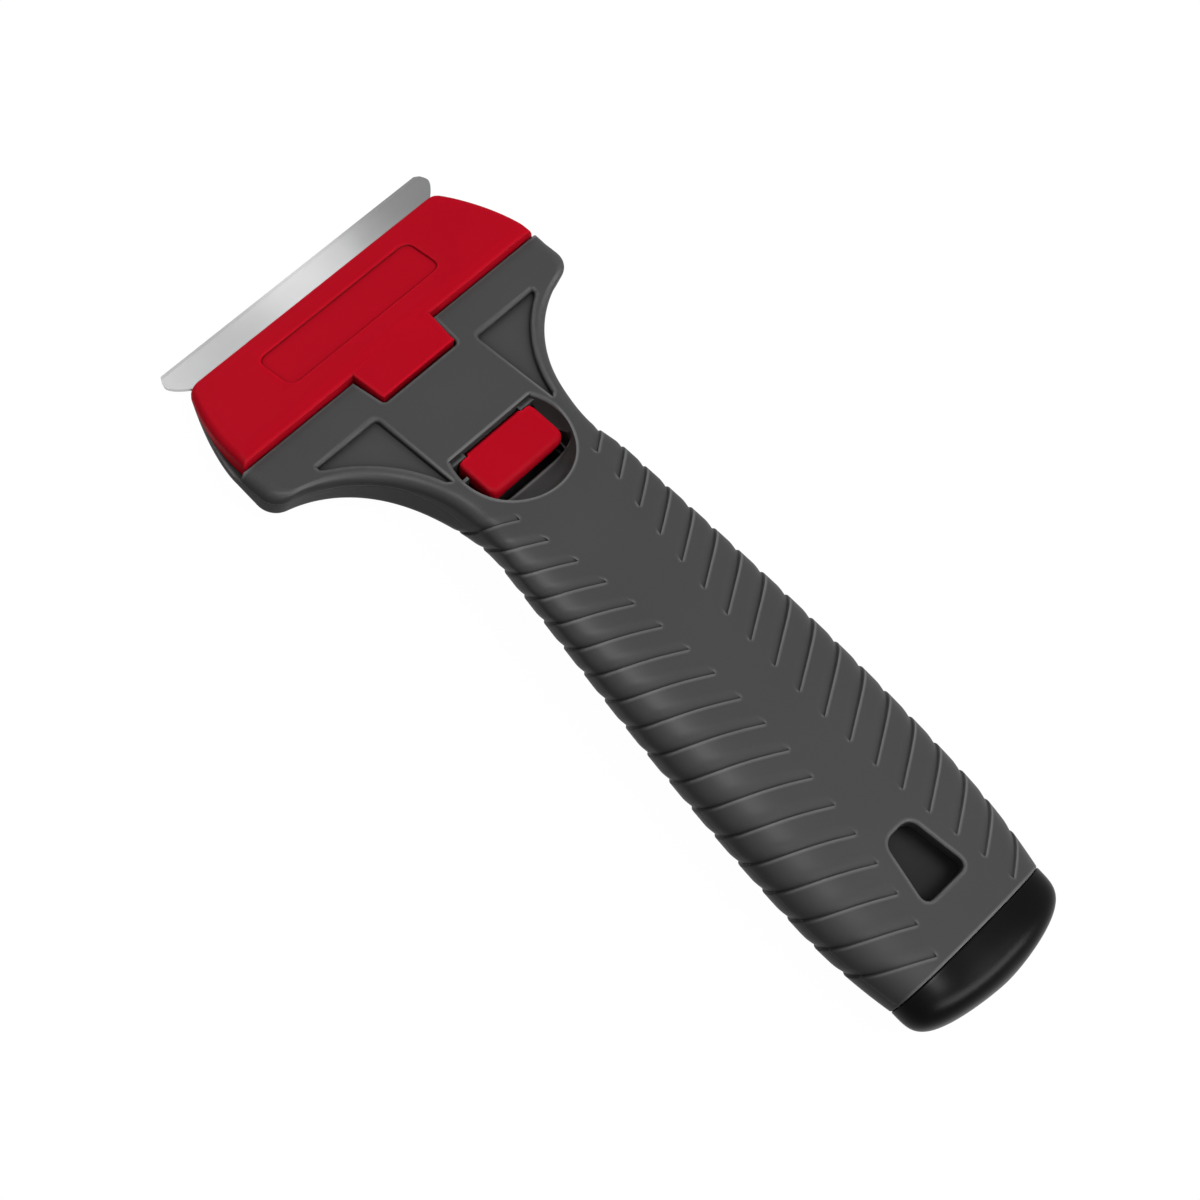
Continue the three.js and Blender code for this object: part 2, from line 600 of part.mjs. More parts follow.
function lowerShell() {
  const below = seamSide(false);
  const railTop = trayBottom() - CLEARANCE;
  const bosses = bossPlaces().flatMap(({ x, y }) => [
    uprightRod(BOSS_RADIUS, x, y, -FAR, FAR, 12),
    uprightRod(SCREW_HEAD_RADIUS + CLEARANCE + 1, x, y, -FAR, Math.min(SCREW_SEAT + 1, railTop), 12),
  ]);
  const rails = [-1, 1].map((sign) =>
    boxSolid(
      TRAY_FRONT_X,
      HANDLE_LENGTH - SPIGOT_LENGTH - 2,
      sign * RAIL_Y - RAIL_WIDTH / 2,
      sign * RAIL_Y + RAIL_WIDTH / 2,
      -FAR,
      railTop,
    ),
  );
  const hollow = cut(cavity, [...bosses, ...rails]);
  const blank = cut(body.intersect(below), [hollow]).intersect(boxSolid(-FAR, FAR, -FAR, FAR, 0, FAR));
  const channelFront = DECK_FRONT_X + 1;
  const channelRear = DECK_FRONT_X + (LEVER_END_P + 3) * Math.cos(HEAD_TILT);
  const channelSide = LEVER_HALF_WIDTH + CLEARANCE;
  const buttonSide = BUTTON_HALF_WIDTH + CLEARANCE;
  const buttonFloor = buttonFoot() - BUTTON_TRAVEL - CLEARANCE;
  const tools = [
    boxSolid(channelFront, channelRear, -channelSide, channelSide, CHANNEL_FLOOR, FAR),
    boxSolid(RECESS_FRONT_P, WELL_REAR_P, -buttonSide, buttonSide, buttonFloor, FAR / 4, HEAD_FRAME),
    uprightRod(SPRING_POCKET, SPRING_X, 0, SPRING_FLOOR, CHANNEL_FLOOR + 1, 20),
    pinGroove(),
    ...[-1, 1].map((sign) =>
      uprightRod(
        PEG_RADIUS + CLEARANCE / 2,
        PEG_P,
        sign * PEG_Q,
        BLADE_HEIGHT - PEG_SINK - CLEARANCE,
        FAR / 4,
        12,
        HEAD_FRAME,
      ),
    ),
    ...screwPlaces().flatMap(({ x, y }) => [
      uprightRod(SCREW_RADIUS + CLEARANCE / 2, x, y, -1, FAR, 12),
      uprightRod(SCREW_HEAD_RADIUS + CLEARANCE, x, y, -1, SCREW_SEAT, 12),
    ]),
  ];
  return cut(blank, tools);
}

// Blade, its spares and the pegs that locate it

function bladeOutline() {
  const rear = BLADE_LENGTH;
  const half = [
    [0, BLADE_EDGE_WIDTH / 2],
    [1.2, BLADE_WIDTH / 2 - 0.25],
    [2.4, BLADE_WIDTH / 2],
    [3.6, BLADE_WIDTH / 2 - 0.5],
    [4.6, BLADE_WIDTH / 2 - 1.3],
    [5.6, BLADE_TANG_WIDTH / 2],
    [rear, BLADE_TANG_WIDTH / 2],
  ];
  return [...half, ...half.map(([p, q]) => [p, -q]).reverse()];
}

function bladeSolid() {
  const outline = planSolid(bladeOutline(), 0, BLADE_THICKNESS);
  const ground = profileSolid(
    [
      [-1, BLADE_THICKNESS + 1],
      [-1, 0.1],
      [0, 0.1],
      [BLADE_BEVEL, BLADE_THICKNESS],
      [BLADE_BEVEL, BLADE_THICKNESS + 1],
    ],
    BLADE_WIDTH,
  );
  const holes = [-1, 1].map((sign) =>
    uprightRod(PEG_RADIUS + CLEARANCE, BLADE_REACH + PEG_P, sign * PEG_Q, -1, BLADE_THICKNESS + 1, 16),
  );
  return cut(outline, [ground, ...holes]);
}

function pegSolid(sign) {
  const low = BLADE_HEIGHT - PEG_SINK;
  const high = BLADE_HEIGHT + BLADE_THICKNESS + PEG_RISE;
  return uprightRod(PEG_RADIUS, PEG_P, sign * PEG_Q, low, high, 12);
}

// Lid, with its tab, the hinge barrel and the lever that the button pushes

function lidTop(p) {
  const toRidge = (p + LID_REACH) / (LID_RIDGE_P + LID_REACH);
  const pastRidge = (p - LID_RIDGE_P) / (NOTCH_LENGTH - TAB_REAR_GAP - LID_RIDGE_P);
  return Math.min(
    THREE.MathUtils.lerp(LID_FRONT_HEIGHT, LID_RIDGE_HEIGHT, toRidge),
    THREE.MathUtils.lerp(LID_RIDGE_HEIGHT, TAB_HEIGHT, pastRidge),
  );
}

function lidHalfWidth(p) {
  const along = (p + LID_REACH) / (LID_REAR_P + LID_REACH);
  const swell = Math.sin((Math.PI / 2) * along) ** 0.8;
  const short = Math.max(LID_CORNER - p - LID_REACH, 0);
  const corner = LID_CORNER - Math.sqrt(LID_CORNER ** 2 - short ** 2);
  return THREE.MathUtils.lerp(LID_FRONT_HALF_WIDTH, LID_REAR_HALF_WIDTH, swell) - corner;
}

// Section across the lid, with rounded ends.
function lidRing(p) {
  const half = lidHalfWidth(p);
  const top = lidTop(p);
  const fillet = Math.min(LID_END_FILLET, 0.85 * (top - LID_BASE));
  const side = [[0, top]];
  const steps = 5;
  for (let i = 0; i <= steps; i++) {
    const angle = ((Math.PI / 2) * i) / steps;
    side.push([half - fillet * (1 - Math.sin(angle)), top - fillet * (1 - Math.cos(angle))]);
  }
  side.push([half, LID_BASE], [0, LID_BASE]);
  const right = side.map(([q, h]) => new THREE.Vector3(p, q, h));
  const left = side.slice(1, -1).reverse().map(([q, h]) => new THREE.Vector3(p, -q, h));
  return [...right, ...left];
}

function lidPlate() {
  const rows = [0, 0.15, 0.5, 1].map((share) => -LID_REACH + LID_CORNER * share);
  for (let i = 1; i <= 6; i++) rows.push(THREE.MathUtils.lerp(LID_CORNER - LID_REACH, LID_RIDGE_P, i / 6));
  rows.push(LID_REAR_P);
  return loftSolid(rows.map(lidRing));
}

function lidTab() {
  const rear = NOTCH_LENGTH - TAB_REAR_GAP;
  const outline = [
    [LID_RIDGE_P, NOTCH_FRONT_HALF_WIDTH - CLEARANCE],
    [LID_RIDGE_P, CLEARANCE - NOTCH_FRONT_HALF_WIDTH],
    [LID_REAR_P, CLEARANCE - NOTCH_FRONT_HALF_WIDTH],
    [rear, CLEARANCE - NOTCH_REAR_HALF_WIDTH],
    [rear, NOTCH_REAR_HALF_WIDTH - CLEARANCE],
    [LID_REAR_P, NOTCH_FRONT_HALF_WIDTH - CLEARANCE],
  ];
  const side = [
    [LID_RIDGE_P, LID_BASE],
    [rear, LID_BASE],
    [rear, TAB_HEIGHT],
    [LID_RIDGE_P, LID_RIDGE_HEIGHT],
  ];
  return planSolid(outline, LID_BASE, LID_RIDGE_HEIGHT).intersect(profileSolid(side, FAR));
}

// Lever from the side: under the bridge, down a step and under the button, with a level pad for the spring.
function leverProfile() {
  const low = LEVER_TOP - LEVER_DROP;
  const padHeight = springTop() + CLEARANCE;
  const toHead = HEAD_FRAME.clone().invert();
  const padPoint = (x) => new THREE.Vector3(x, 0, padHeight).applyMatrix4(toHead);
  const padFront = padPoint(SPRING_X - SPRING_RADIUS);
  const padRear = padPoint(SPRING_X + SPRING_RADIUS);
  return [
    [0.5, LID_BASE + 0.2],
    [NOTCH_LENGTH - TAB_REAR_GAP, LEVER_TOP - LEVER_RELIEF],
    [PIN_P - BARREL_RADIUS, LEVER_TOP],
    [LEVER_STEP_P, LEVER_TOP],
    [LEVER_STEP_P + 1, low],
    [LEVER_END_P, low],
    [LEVER_END_P, low - LEVER_THICKNESS],
    [padRear.x, low - LEVER_THICKNESS],
    [padRear.x, padRear.z],
    [padFront.x, padFront.z],
    [padFront.x, low - LEVER_THICKNESS],
    [LEVER_STEP_P - 1, low - LEVER_THICKNESS],
    [LEVER_STEP_P - 2, LEVER_TOP - LEVER_THICKNESS],
    [2.5, LEVER_TOP - LEVER_THICKNESS],
  ];
}

function clampLid() {
  const lever = profileSolid(leverProfile(), LEVER_HALF_WIDTH);
  const barrel = crossRod(BARREL_RADIUS, LEVER_HALF_WIDTH, PIN_P, -SEAT_DEPTH, 16);
  const slope = Math.atan2(LID_RIDGE_HEIGHT - LID_FRONT_HEIGHT, LID_RIDGE_P + LID_REACH);
  const panelFrame = new THREE.Matrix4().makeRotationY(-slope).setPosition(PANEL_P, 0, lidTop(PANEL_P));
  const corners = [
    [-PANEL_LENGTH / 2, -PANEL_WIDTH / 2],
    [PANEL_LENGTH / 2, -PANEL_WIDTH / 2],
    [PANEL_LENGTH / 2, PANEL_WIDTH / 2],
    [-PANEL_LENGTH / 2, PANEL_WIDTH / 2],
  ];
  const panel = planSolid(roundedOutline(corners, 1.8, 3), -PANEL_DEPTH, 2, panelFrame);
  const bladePocket = boxSolid(
    -LID_REACH - 1,
    BLADE_LENGTH - BLADE_REACH + CLEARANCE,
    -BLADE_TANG_WIDTH / 2 - CLEARANCE,
    BLADE_TANG_WIDTH / 2 + CLEARANCE,
    LID_BASE - 1,
    BLADE_HEIGHT + BLADE_THICKNESS + CLEARANCE,
  );
  const frontRelief = boxSolid(
    -LID_REACH - 1,
    5.9 - BLADE_REACH,
    -FAR,
    FAR,
    LID_BASE - 1,
    BLADE_HEIGHT + BLADE_THICKNESS + CLEARANCE,
  );
  const sockets = [-1, 1].map((sign) =>
    uprightRod(
      PEG_RADIUS + CLEARANCE,
      PEG_P,
      sign * PEG_Q,
      LID_BASE - 1,
      BLADE_HEIGHT + BLADE_THICKNESS + PEG_RISE + CLEARANCE,
      12,
    ),
  );
  const bore = crossRod(PIN_RADIUS + CLEARANCE / 2, FAR, PIN_P, -SEAT_DEPTH, 16);
  const solid = joined([lidPlate(), lidTab(), lever, barrel]);
  return cut(solid, [panel, bladePocket, frontRelief, ...sockets, bore]);
}

// Push button

function buttonFoot() {
  return LEVER_TOP - LEVER_DROP + CLEARANCE;
}

function pushButton() {
  const half = [
    [BUTTON_FRONT_P, BUTTON_HALF_WIDTH - BUTTON_NOTCH_WIDTH],
    [BUTTON_FRONT_P + BUTTON_NOTCH, BUTTON_HALF_WIDTH - BUTTON_NOTCH_WIDTH],
    [BUTTON_FRONT_P + BUTTON_NOTCH, BUTTON_HALF_WIDTH],
    [BUTTON_REAR_P, BUTTON_HALF_WIDTH],
  ];
  const outline = [...half, ...half.map(([p, q]) => [p, -q]).reverse()];
  const foot = buttonFoot();
  const profile = [
    [BUTTON_FRONT_P, -BUTTON_SKIRT],
    [BUTTON_RIB_P - BUTTON_RIB_WIDTH / 2, -BUTTON_SKIRT],
    [BUTTON_RIB_P - BUTTON_RIB_WIDTH / 2, foot],
    [BUTTON_RIB_P + BUTTON_RIB_WIDTH / 2, foot],
    [BUTTON_RIB_P + BUTTON_RIB_WIDTH / 2, -BUTTON_SKIRT],
    [BUTTON_REAR_P, -BUTTON_SKIRT],
    [BUTTON_REAR_P, BUTTON_REAR_HEIGHT],
    [BUTTON_FRONT_P, BUTTON_FRONT_HEIGHT],
  ];
  return planSolid(outline, foot, 0).intersect(profileSolid(profile, FAR));
}

// Clamp spring, upright between the channel's floor and the lever's pad

function springTop() {
  return SPRING_FLOOR + CLEARANCE + SPRING_HEIGHT;
}

class Helix extends THREE.Curve {
  getPoint(share, target = new THREE.Vector3()) {
    const angle = 2 * Math.PI * SPRING_TURNS * share;
    const rise = SPRING_WIRE / 2 + (SPRING_HEIGHT - SPRING_WIRE) * share;
    return target.set(SPRING_RADIUS * Math.cos(angle), SPRING_RADIUS * Math.sin(angle), rise);
  }
}

function springGeometry() {
  const steps = 10 * SPRING_TURNS;
  const path = new Helix();
  const sides = 6;
  const rings = [];
  for (let i = 0; i <= steps; i++) {
    const centre = path.getPoint(i / steps);
    const outward = new THREE.Vector3(centre.x, centre.y, 0).normalize();
    const up = path.getTangent(i / steps).cross(outward).normalize();
    const ring = [];
    for (let j = 0; j < sides; j++) {
      const angle = (2 * Math.PI * j) / sides;
      const across = outward.clone().multiplyScalar(Math.cos(angle)).addScaledVector(up, -Math.sin(angle));
      ring.push(centre.clone().addScaledVector(across, SPRING_WIRE / 2));
    }
    rings.push(ring);
  }
  return loftSolid(rings);
}

// Least gap between neighbouring turns of the spring's wire.
function springGap() {
  const points = new Helix().getPoints(60 * SPRING_TURNS);
  let least = Infinity;
  points.forEach((a, i) =>
    points.slice(i + 30).forEach((b) => {
      least = Math.min(least, a.distanceTo(b));
    }),
  );
  return least - SPRING_WIRE;
}

// End cap, blade tray and spare blades, which pull out together

function trayTop() {
  return gripTop((WINDOW_FRONT_X + WINDOW_REAR_X) / 2) - WINDOW_DEPTH;
}

function slotHeight() {
  return SPARE_COUNT * (BLADE_THICKNESS + CLEARANCE) + CLEARANCE;
}

function trayBottom() {
  return trayTop() - TRAY_TOP - slotHeight() - TRAY_FLOOR;
}

function trayHalfWidth() {
  return BLADE_LENGTH / 2 + CLEARANCE + TRAY_SIDE;
}

function trayRear() {
  return CAP_FRONT_X + TRAY_ENGAGE;
}

function bladeTray() {
  const half = trayHalfWidth();
  const block = boxSolid(TRAY_FRONT_X, trayRear(), -half, half, trayBottom(), trayTop());
  const slot = boxSolid(
    TRAY_FRONT_X - 1,
    TRAY_FRONT_X + TRAY_SIDE + BLADE_WIDTH + 2 * CLEARANCE,
    -half + TRAY_SIDE,
    half - TRAY_SIDE,
    trayBottom() + TRAY_FLOOR,
    trayTop() - TRAY_TOP,
  );
  return block.subtract(slot);
}

function endCap() {
  const rings = [];
  const steps = 8;
  const seam = bodyRing(HANDLE_LENGTH, 0, 0, 0);
  for (let i = 0; i <= steps; i++) {
    const share = Math.sin(((Math.PI / 2) * i) / steps);
    const across = (1 - (0.992 * share) ** 4) ** 0.71;
    const upright = (1 - (0.992 * share) ** 5) ** 0.5;
    const x = CAP_FRONT_X + CAP_LENGTH * share;
    rings.push(
      seam.map((point) => {
        const z = WIDEST_AT_CAP + (point.z - WIDEST_AT_CAP) * upright;
        return new THREE.Vector3(x, point.y * across, z);
      }),
    );
  }
  const plugEnd = CAP_FRONT_X + 0.5;
  const plug = loftSolid(
    [HANDLE_LENGTH - SPIGOT_LENGTH, plugEnd].map((x) =>
      bodyRing(HANDLE_LENGTH - SPIGOT_LENGTH / 2, WALL + CLEARANCE + 0.6, 0, 0).map(
        (point) => new THREE.Vector3(x, point.y, point.z),
      ),
    ),
  );
  const half = trayHalfWidth() + CLEARANCE;
  const socket = boxSolid(
    HANDLE_LENGTH - SPIGOT_LENGTH - 1,
    trayRear() + CLEARANCE,
    -half,
    half,
    trayBottom() - CLEARANCE,
    trayTop() + CLEARANCE,
  );
  return loftSolid(rings).add(plug).subtract(socket);
}

// Screws from below

function screwGeometry() {
  const length = SEAM_HEIGHT + SCREW_GRIP - SCREW_SEAT;
  const head = SCREW_HEAD_RADIUS;
  const profile = [
    [0, -SCREW_HEAD_HEIGHT],
    [head - 0.4, -SCREW_HEAD_HEIGHT],
    [head, -SCREW_HEAD_HEIGHT + 0.5],
    [head, -CLEARANCE / 2],
    [SCREW_RADIUS, -CLEARANCE / 2],
    [SCREW_RADIUS, length - 1],
    [0.3, length],
    [0, length],
  ];
  const points = profile.map(([r, z]) => new THREE.Vector2(r, z));
  return new THREE.LatheGeometry(points, 12).rotateX(Math.PI / 2);
}

// Assembly

function material(finish) {
  return new THREE.MeshStandardMaterial(finish);
}

function piece(name, solid, finish, parent) {
  const mesh = new THREE.Mesh(geometryOf(solid), material(finish));
  mesh.name = name;
  parent.add(mesh);
  return mesh;
}

const scraper = new THREE.Group();
const frame = new THREE.Group();
frame.position.x = -MIDDLE_X;
scraper.add(frame);
const head = new THREE.Group();
head.applyMatrix4(HEAD_FRAME);
frame.add(head);

piece("upper_shell", upperShell(), GREY_PLASTIC, frame);
piece("lower_shell", lowerShell(), GREY_PLASTIC, frame);
piece("clamp_lid", clampLid(), RED_PLASTIC, head);
piece("push_button", pushButton(), RED_PLASTIC, head);
piece("lid_pivot_pin", crossRod(PIN_RADIUS, PIN_HALF_LENGTH, PIN_P, -SEAT_DEPTH, 16), PLATED_STEEL, head);
const blade = piece("scraper_blade", bladeSolid(), BLADE_STEEL, head);
blade.position.set(-BLADE_REACH, 0, BLADE_HEIGHT);
[-1, 1].forEach((sign, i) => piece("blade_peg_" + (i + 1), pegSolid(sign), PLATED_STEEL, head));

const spring = piece("clamp_spring", springGeometry(), PLATED_STEEL, frame);
spring.position.set(SPRING_X, 0, SPRING_FLOOR + CLEARANCE);
console.log("least gap between the spring's turns, mm:", springGap().toFixed(2));

piece("end_cap", endCap(), BLACK_PLASTIC, frame);
piece("blade_tray", bladeTray(), DARK_PLASTIC, frame);
for (let i = 0; i < SPARE_COUNT; i++) {
  const spare = piece("spare_blade_" + (i + 1), bladeSolid(), BLADE_STEEL, frame);
  spare.rotation.z = Math.PI / 2;
  const height = trayBottom() + TRAY_FLOOR + CLEARANCE + i * (BLADE_THICKNESS + CLEARANCE);
  spare.position.set(TRAY_FRONT_X + TRAY_SIDE + CLEARANCE + BLADE_WIDTH / 2, -BLADE_LENGTH / 2, height);
}

screwPlaces().forEach(({ x, y }, i) => {
  const screw = piece("shell_screw_" + (i + 1), solidOf(screwGeometry()), PLATED_STEEL, frame);
  screw.position.set(x, y, SCREW_SEAT);
});

export default scraper;
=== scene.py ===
import math
import bmesh
import bpy
import numpy as np
from mathutils import Matrix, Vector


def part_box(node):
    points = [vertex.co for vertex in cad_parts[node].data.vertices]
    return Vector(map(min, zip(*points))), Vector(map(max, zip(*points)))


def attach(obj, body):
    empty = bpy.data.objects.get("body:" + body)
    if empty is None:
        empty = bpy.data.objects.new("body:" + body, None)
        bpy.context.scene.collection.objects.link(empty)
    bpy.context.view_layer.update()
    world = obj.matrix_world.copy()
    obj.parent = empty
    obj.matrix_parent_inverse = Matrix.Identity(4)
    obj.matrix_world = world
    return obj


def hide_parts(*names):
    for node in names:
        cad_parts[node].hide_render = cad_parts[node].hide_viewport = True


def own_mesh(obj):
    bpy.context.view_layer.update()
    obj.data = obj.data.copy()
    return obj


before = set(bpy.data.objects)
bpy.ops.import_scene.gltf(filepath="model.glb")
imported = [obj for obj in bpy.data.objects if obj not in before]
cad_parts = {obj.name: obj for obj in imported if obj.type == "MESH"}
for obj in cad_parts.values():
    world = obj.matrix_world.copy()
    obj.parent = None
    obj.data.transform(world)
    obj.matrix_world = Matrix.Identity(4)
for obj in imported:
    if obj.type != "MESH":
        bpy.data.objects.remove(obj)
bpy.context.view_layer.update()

# Studio
# A plain pale floor with a large soft lamp over the right side and a weak one ahead of the blade. Two panels,
# over the left side and behind the cap, only make highlights. A long lens looks steeply down the handle.


class Value:
    """A socket in a node tree, with the sums that the finishes use."""

    def __init__(self, tree, socket=None):
        self.tree = tree
        self.socket = socket

    def node(self, kind, settings, sockets, output=0):
        made = self.tree.nodes.new(kind)
        for name, setting in settings.items():
            setattr(made, name, setting)
        for name, value in sockets.items():
            self.feed(value, made.inputs[name])
        return Value(self.tree, made.outputs[output] if len(made.outputs) else None)

    def feed(self, value, target):
        if isinstance(value, Value):
            self.tree.links.new(value.socket, target)
        else:
            target.default_value = value

    def sum(self, operation, a, b):
        return self.node("ShaderNodeMath", {"operation": operation}, {0: a, 1: b})

    def __add__(self, other):
        return self.sum("ADD", self, other)

    __radd__ = __add__

    def __rsub__(self, other):
        return self.sum("SUBTRACT", other, self)

    def __mul__(self, other):
        return self.sum("MULTIPLY", self, other)

    __rmul__ = __mul__


def background_ray(start):
    camera_ray = start.node("ShaderNodeLightPath", {}, {}, "Is Camera Ray")
    glossy_ray = start.node("ShaderNodeLightPath", {}, {}, "Is Glossy Ray")
    clear_ray = start.node("ShaderNodeLightPath", {}, {}, "Is Transmission Ray")
    return start.sum("MINIMUM", camera_ray + glossy_ray + clear_ray, 1.0)


def soft_lamp(name, place, aim, width, height, power, gloss_only=False):
    lamp = bpy.data.lights.new(name, "AREA")
    lamp.shape = "RECTANGLE"
    lamp.size = width
    lamp.size_y = height
    lamp.energy = power
    holder = bpy.data.objects.new(name, lamp)
    holder.visible_diffuse = not gloss_only
    bpy.context.scene.collection.objects.link(holder)
    away = np.array(place) - np.array(aim)
    away /= np.linalg.norm(away)
    side = np.cross((0.0, 0.0, 1.0), away)
    side /= np.linalg.norm(side)
    up = np.cross(away, side)
    turn = Matrix(np.column_stack([side, up, away]).tolist()).to_4x4()
    holder.matrix_world = Matrix.Translation(place) @ turn


floor_reach = 4.0
floor_glow = 0.88
floor_corners = [(x * floor_reach, y * floor_reach, 0.0) for x, y in ((-1, -1), (1, -1), (1, 1), (-1, 1))]
floor_mesh = bpy.data.meshes.new("floor")
floor_mesh.from_pydata(floor_corners, [], [(0, 1, 2, 3)])
floor = bpy.data.objects.new("floor", floor_mesh)
bpy.context.scene.collection.objects.link(floor)
floor_paint = bpy.data.materials.new("pale_floor")
floor_paint.use_nodes = True
floor_paint.node_tree.nodes.clear()
start = Value(floor_paint.node_tree)
matt = start.node("ShaderNodeBsdfDiffuse", {}, {"Color": (0.25, 0.25, 0.25, 1)})
white = start.node("ShaderNodeEmission", {}, {"Color": (1, 1, 1, 1), "Strength": 1.12})
mixed = start.node("ShaderNodeMixShader", {}, {0: floor_glow * background_ray(start), 1: matt, 2: white})
start.node("ShaderNodeOutputMaterial", {}, {"Surface": mixed})
floor_mesh.materials.append(floor_paint)

world = bpy.data.worlds.new("studio")
bpy.context.scene.world = world
world.use_nodes = True
world.node_tree.nodes.clear()
start = Value(world.node_tree)
fill = start.node("ShaderNodeBackground", {}, {"Color": (1, 1, 1, 1), "Strength": 0.28})
white = start.node("ShaderNodeBackground", {}, {"Color": (1, 1, 1, 1), "Strength": 1.0})
mixed = start.node("ShaderNodeMixShader", {}, {0: background_ray(start), 1: fill, 2: white})
start.node("ShaderNodeOutputWorld", {}, {"Surface": mixed})

soft_lamp("overhead", (0.57, 0.30, 1.36), (0.0, 0.0, 0.01), width=0.7, height=0.7, power=12.8)
soft_lamp("ahead", (-0.83, 0.11, 0.33), (0.0, 0.0, 0.01), width=0.3, height=0.3, power=2.0)
soft_lamp(
    "left_panel", (-0.09, -0.50, 0.82), (-0.09, 0.0, 0.01),
    width=0.42, height=0.22, power=26.0, gloss_only=True,
)
soft_lamp(
    "rear_panel", (0.75, -0.12, 0.57), (0.08, 0.0, 0.01),
    width=1.5, height=0.40, power=44.0, gloss_only=True,
)

camera_lens = bpy.data.cameras.new("camera")
camera_lens.lens = 102.0
camera_lens.sensor_width = 36.0
camera_lens.clip_start = 0.01
camera = bpy.data.objects.new("camera", camera_lens)
bpy.context.scene.collection.objects.link(camera)
camera_place = (0.03951, -0.24236, 0.52955)
to_right = (0.69091, 0.67880, 0.24875)
upward = (-0.71838, 0.60605, 0.34152)
backward = (0.08107, -0.41466, 0.90636)
camera_turn = Matrix(np.column_stack([to_right, upward, backward]).tolist()).to_4x4()
camera.matrix_world = Matrix.Translation(camera_place) @ camera_turn
bpy.context.scene.camera = camera
bpy.context.scene.view_settings.view_transform = "Standard"

# Upper shell
# The top half of the handle: a flat tilted deck with a notch for the lid, shallow triangles and the
# button's dish, then a grip with raked grooves and a window. Moulded from grey satin plastic.

# Sizes are in millimetres. On the handle x runs from the deck's rear end to the cap. On the head p runs back
# from the deck's front edge, q across and h up from the deck.

handle_length = 101.2
neck_half_width = 14.45
grip_half_width = 20.3
grip_x = 0.8 * handle_length
end_half_width = 18.2
handle_top = 21.0
grip_swell = 1.6
seam_height = 12.5
widest_at_neck = 16.9
widest_at_cap = 10.8
neck_clearance = 3.5
end_clearance = 1.2
belly_flat = 0.6
grip_from_x = -13.0
grip_full_x = 7.0
crown_power = 2.5
side_power = 2.2
neck_blend = 1.6
widest_blend = 3.0
wall = 2.4
end_rim = 0.3

groove_count = 18
groove_rake = math.radians(30)
groove_ease = 0.012
groove_margin = 1.9
groove_pitch = (handle_length - groove_margin) / (groove_count - 1)
groove_run = 13.0
groove_ramp = 1.6
groove_ramp_growth = 0.9
groove_deepest = 0.31
groove_deepening = 0.17
groove_hollow = 1.1
groove_hollow_growth = 0.5
groove_step = 0.2
band_waist = 4.15
band_end = 9.95

head_tilt = math.radians(15.8)
deck_length = 39.1
deck_at_neck = 20.5
head_half_width = 36.0
shoulder_radius = 4.0
flank_radius = 24.5
neck_x = -4.9
deck_fillet = 2.8
cheek_height = 2.7
cheek_wall = 1.2
jaw_reach = 17.6
jaw_front_half_width = 29.6
jaw_flat = 0.4
seat_depth = 2.75
seam_half_gap = 0.03

far = 150
cut_overlap = 0.015
cut_flare = 0.01
cut_rise = 4.0

tilt_cos = math.cos(head_tilt)
tilt_sin = math.sin(head_tilt)
deck_front_x = -deck_length * tilt_cos
deck_front_z = deck_at_neck - deck_length * tilt_sin
jaw_front_x = deck_front_x - jaw_reach * tilt_cos
bend_reach = flank_radius + shoulder_radius
bend_rise = neck_half_width + bend_reach - head_half_width
bend_angle = math.acos(bend_rise / bend_reach)
shoulder_x = neck_x - bend_reach * math.sin(bend_angle)
bend_x = shoulder_x + shoulder_radius * math.sin(bend_angle)
middle_x = handle_length - 1000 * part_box("upper_shell")[1].x


def ease(x, low, high):
    t = np.clip((x - low) / (high - low), 0, 1)
    return t * t * (3 - 2 * t)


def soft_min(a, b, width):
    blend = np.maximum(width - np.abs(a - b), 0) / width
    return np.minimum(a, b) - blend * blend * width / 4


def grip_top(x):
    return handle_top + grip_swell * np.sin(np.pi * np.clip(x / handle_length, 0, 1)) ** 2


def top_height(x):
    return soft_min(deck_at_neck + x * math.tan(head_tilt), grip_top(x), neck_blend)


def bottom_height(x):
    head = neck_clearance - (neck_clearance + jaw_flat) * (x / jaw_front_x)
    dip = (neck_clearance + belly_flat) * np.sin(np.pi / 2 * np.clip(x / grip_x, 0, 1)) ** 2
    past = np.maximum(x - grip_x, 0) / (handle_length - grip_x)
    return np.where(x < 0, head, neck_clearance - dip + (end_clearance + belly_flat) * past**2)


def widest_height(x):
    cheek = deck_front_z - cheek_height / tilt_cos
    jaw = cheek + (x - deck_front_x) * math.tan(head_tilt)
    rising = cheek + (widest_at_neck - cheek) * np.clip(1 - x / deck_front_x, 0, 1.25) ** 4
    falling = widest_at_neck + (widest_at_cap - widest_at_neck) * x / handle_length
    return np.where(x < deck_front_x, jaw, soft_min(rising, falling, widest_blend))


def flank_half_width(x, rim):
    radius = flank_radius + rim
    reach = np.minimum(np.abs(x - neck_x), radius)
    return neck_half_width + flank_radius - np.sqrt(radius**2 - reach**2)


def grip_width(x):
    along = np.clip((x - neck_x) / (grip_x - neck_x), 0, 1)
    swell = np.sin(np.pi / 2 * along) * along / (along + 0.02)
    past = np.maximum(x - grip_x, 0) / (handle_length - grip_x)
    swollen = neck_half_width + (grip_half_width - neck_half_width) * swell
    return swollen - (grip_half_width - end_half_width) * past**2


def half_width(x):
    ahead = np.maximum(deck_front_x - x, 0) / (deck_front_x - jaw_front_x)
    cheek = head_half_width - (head_half_width - jaw_front_half_width) * ahead**1.5
    past = np.clip(x - shoulder_x, 0, shoulder_radius)
    head = cheek - shoulder_radius + np.sqrt(shoulder_radius**2 - past**2)
    flank = np.where(x < bend_x, head, flank_half_width(x, 0))
    return np.where(x > neck_x, grip_width(x), flank)


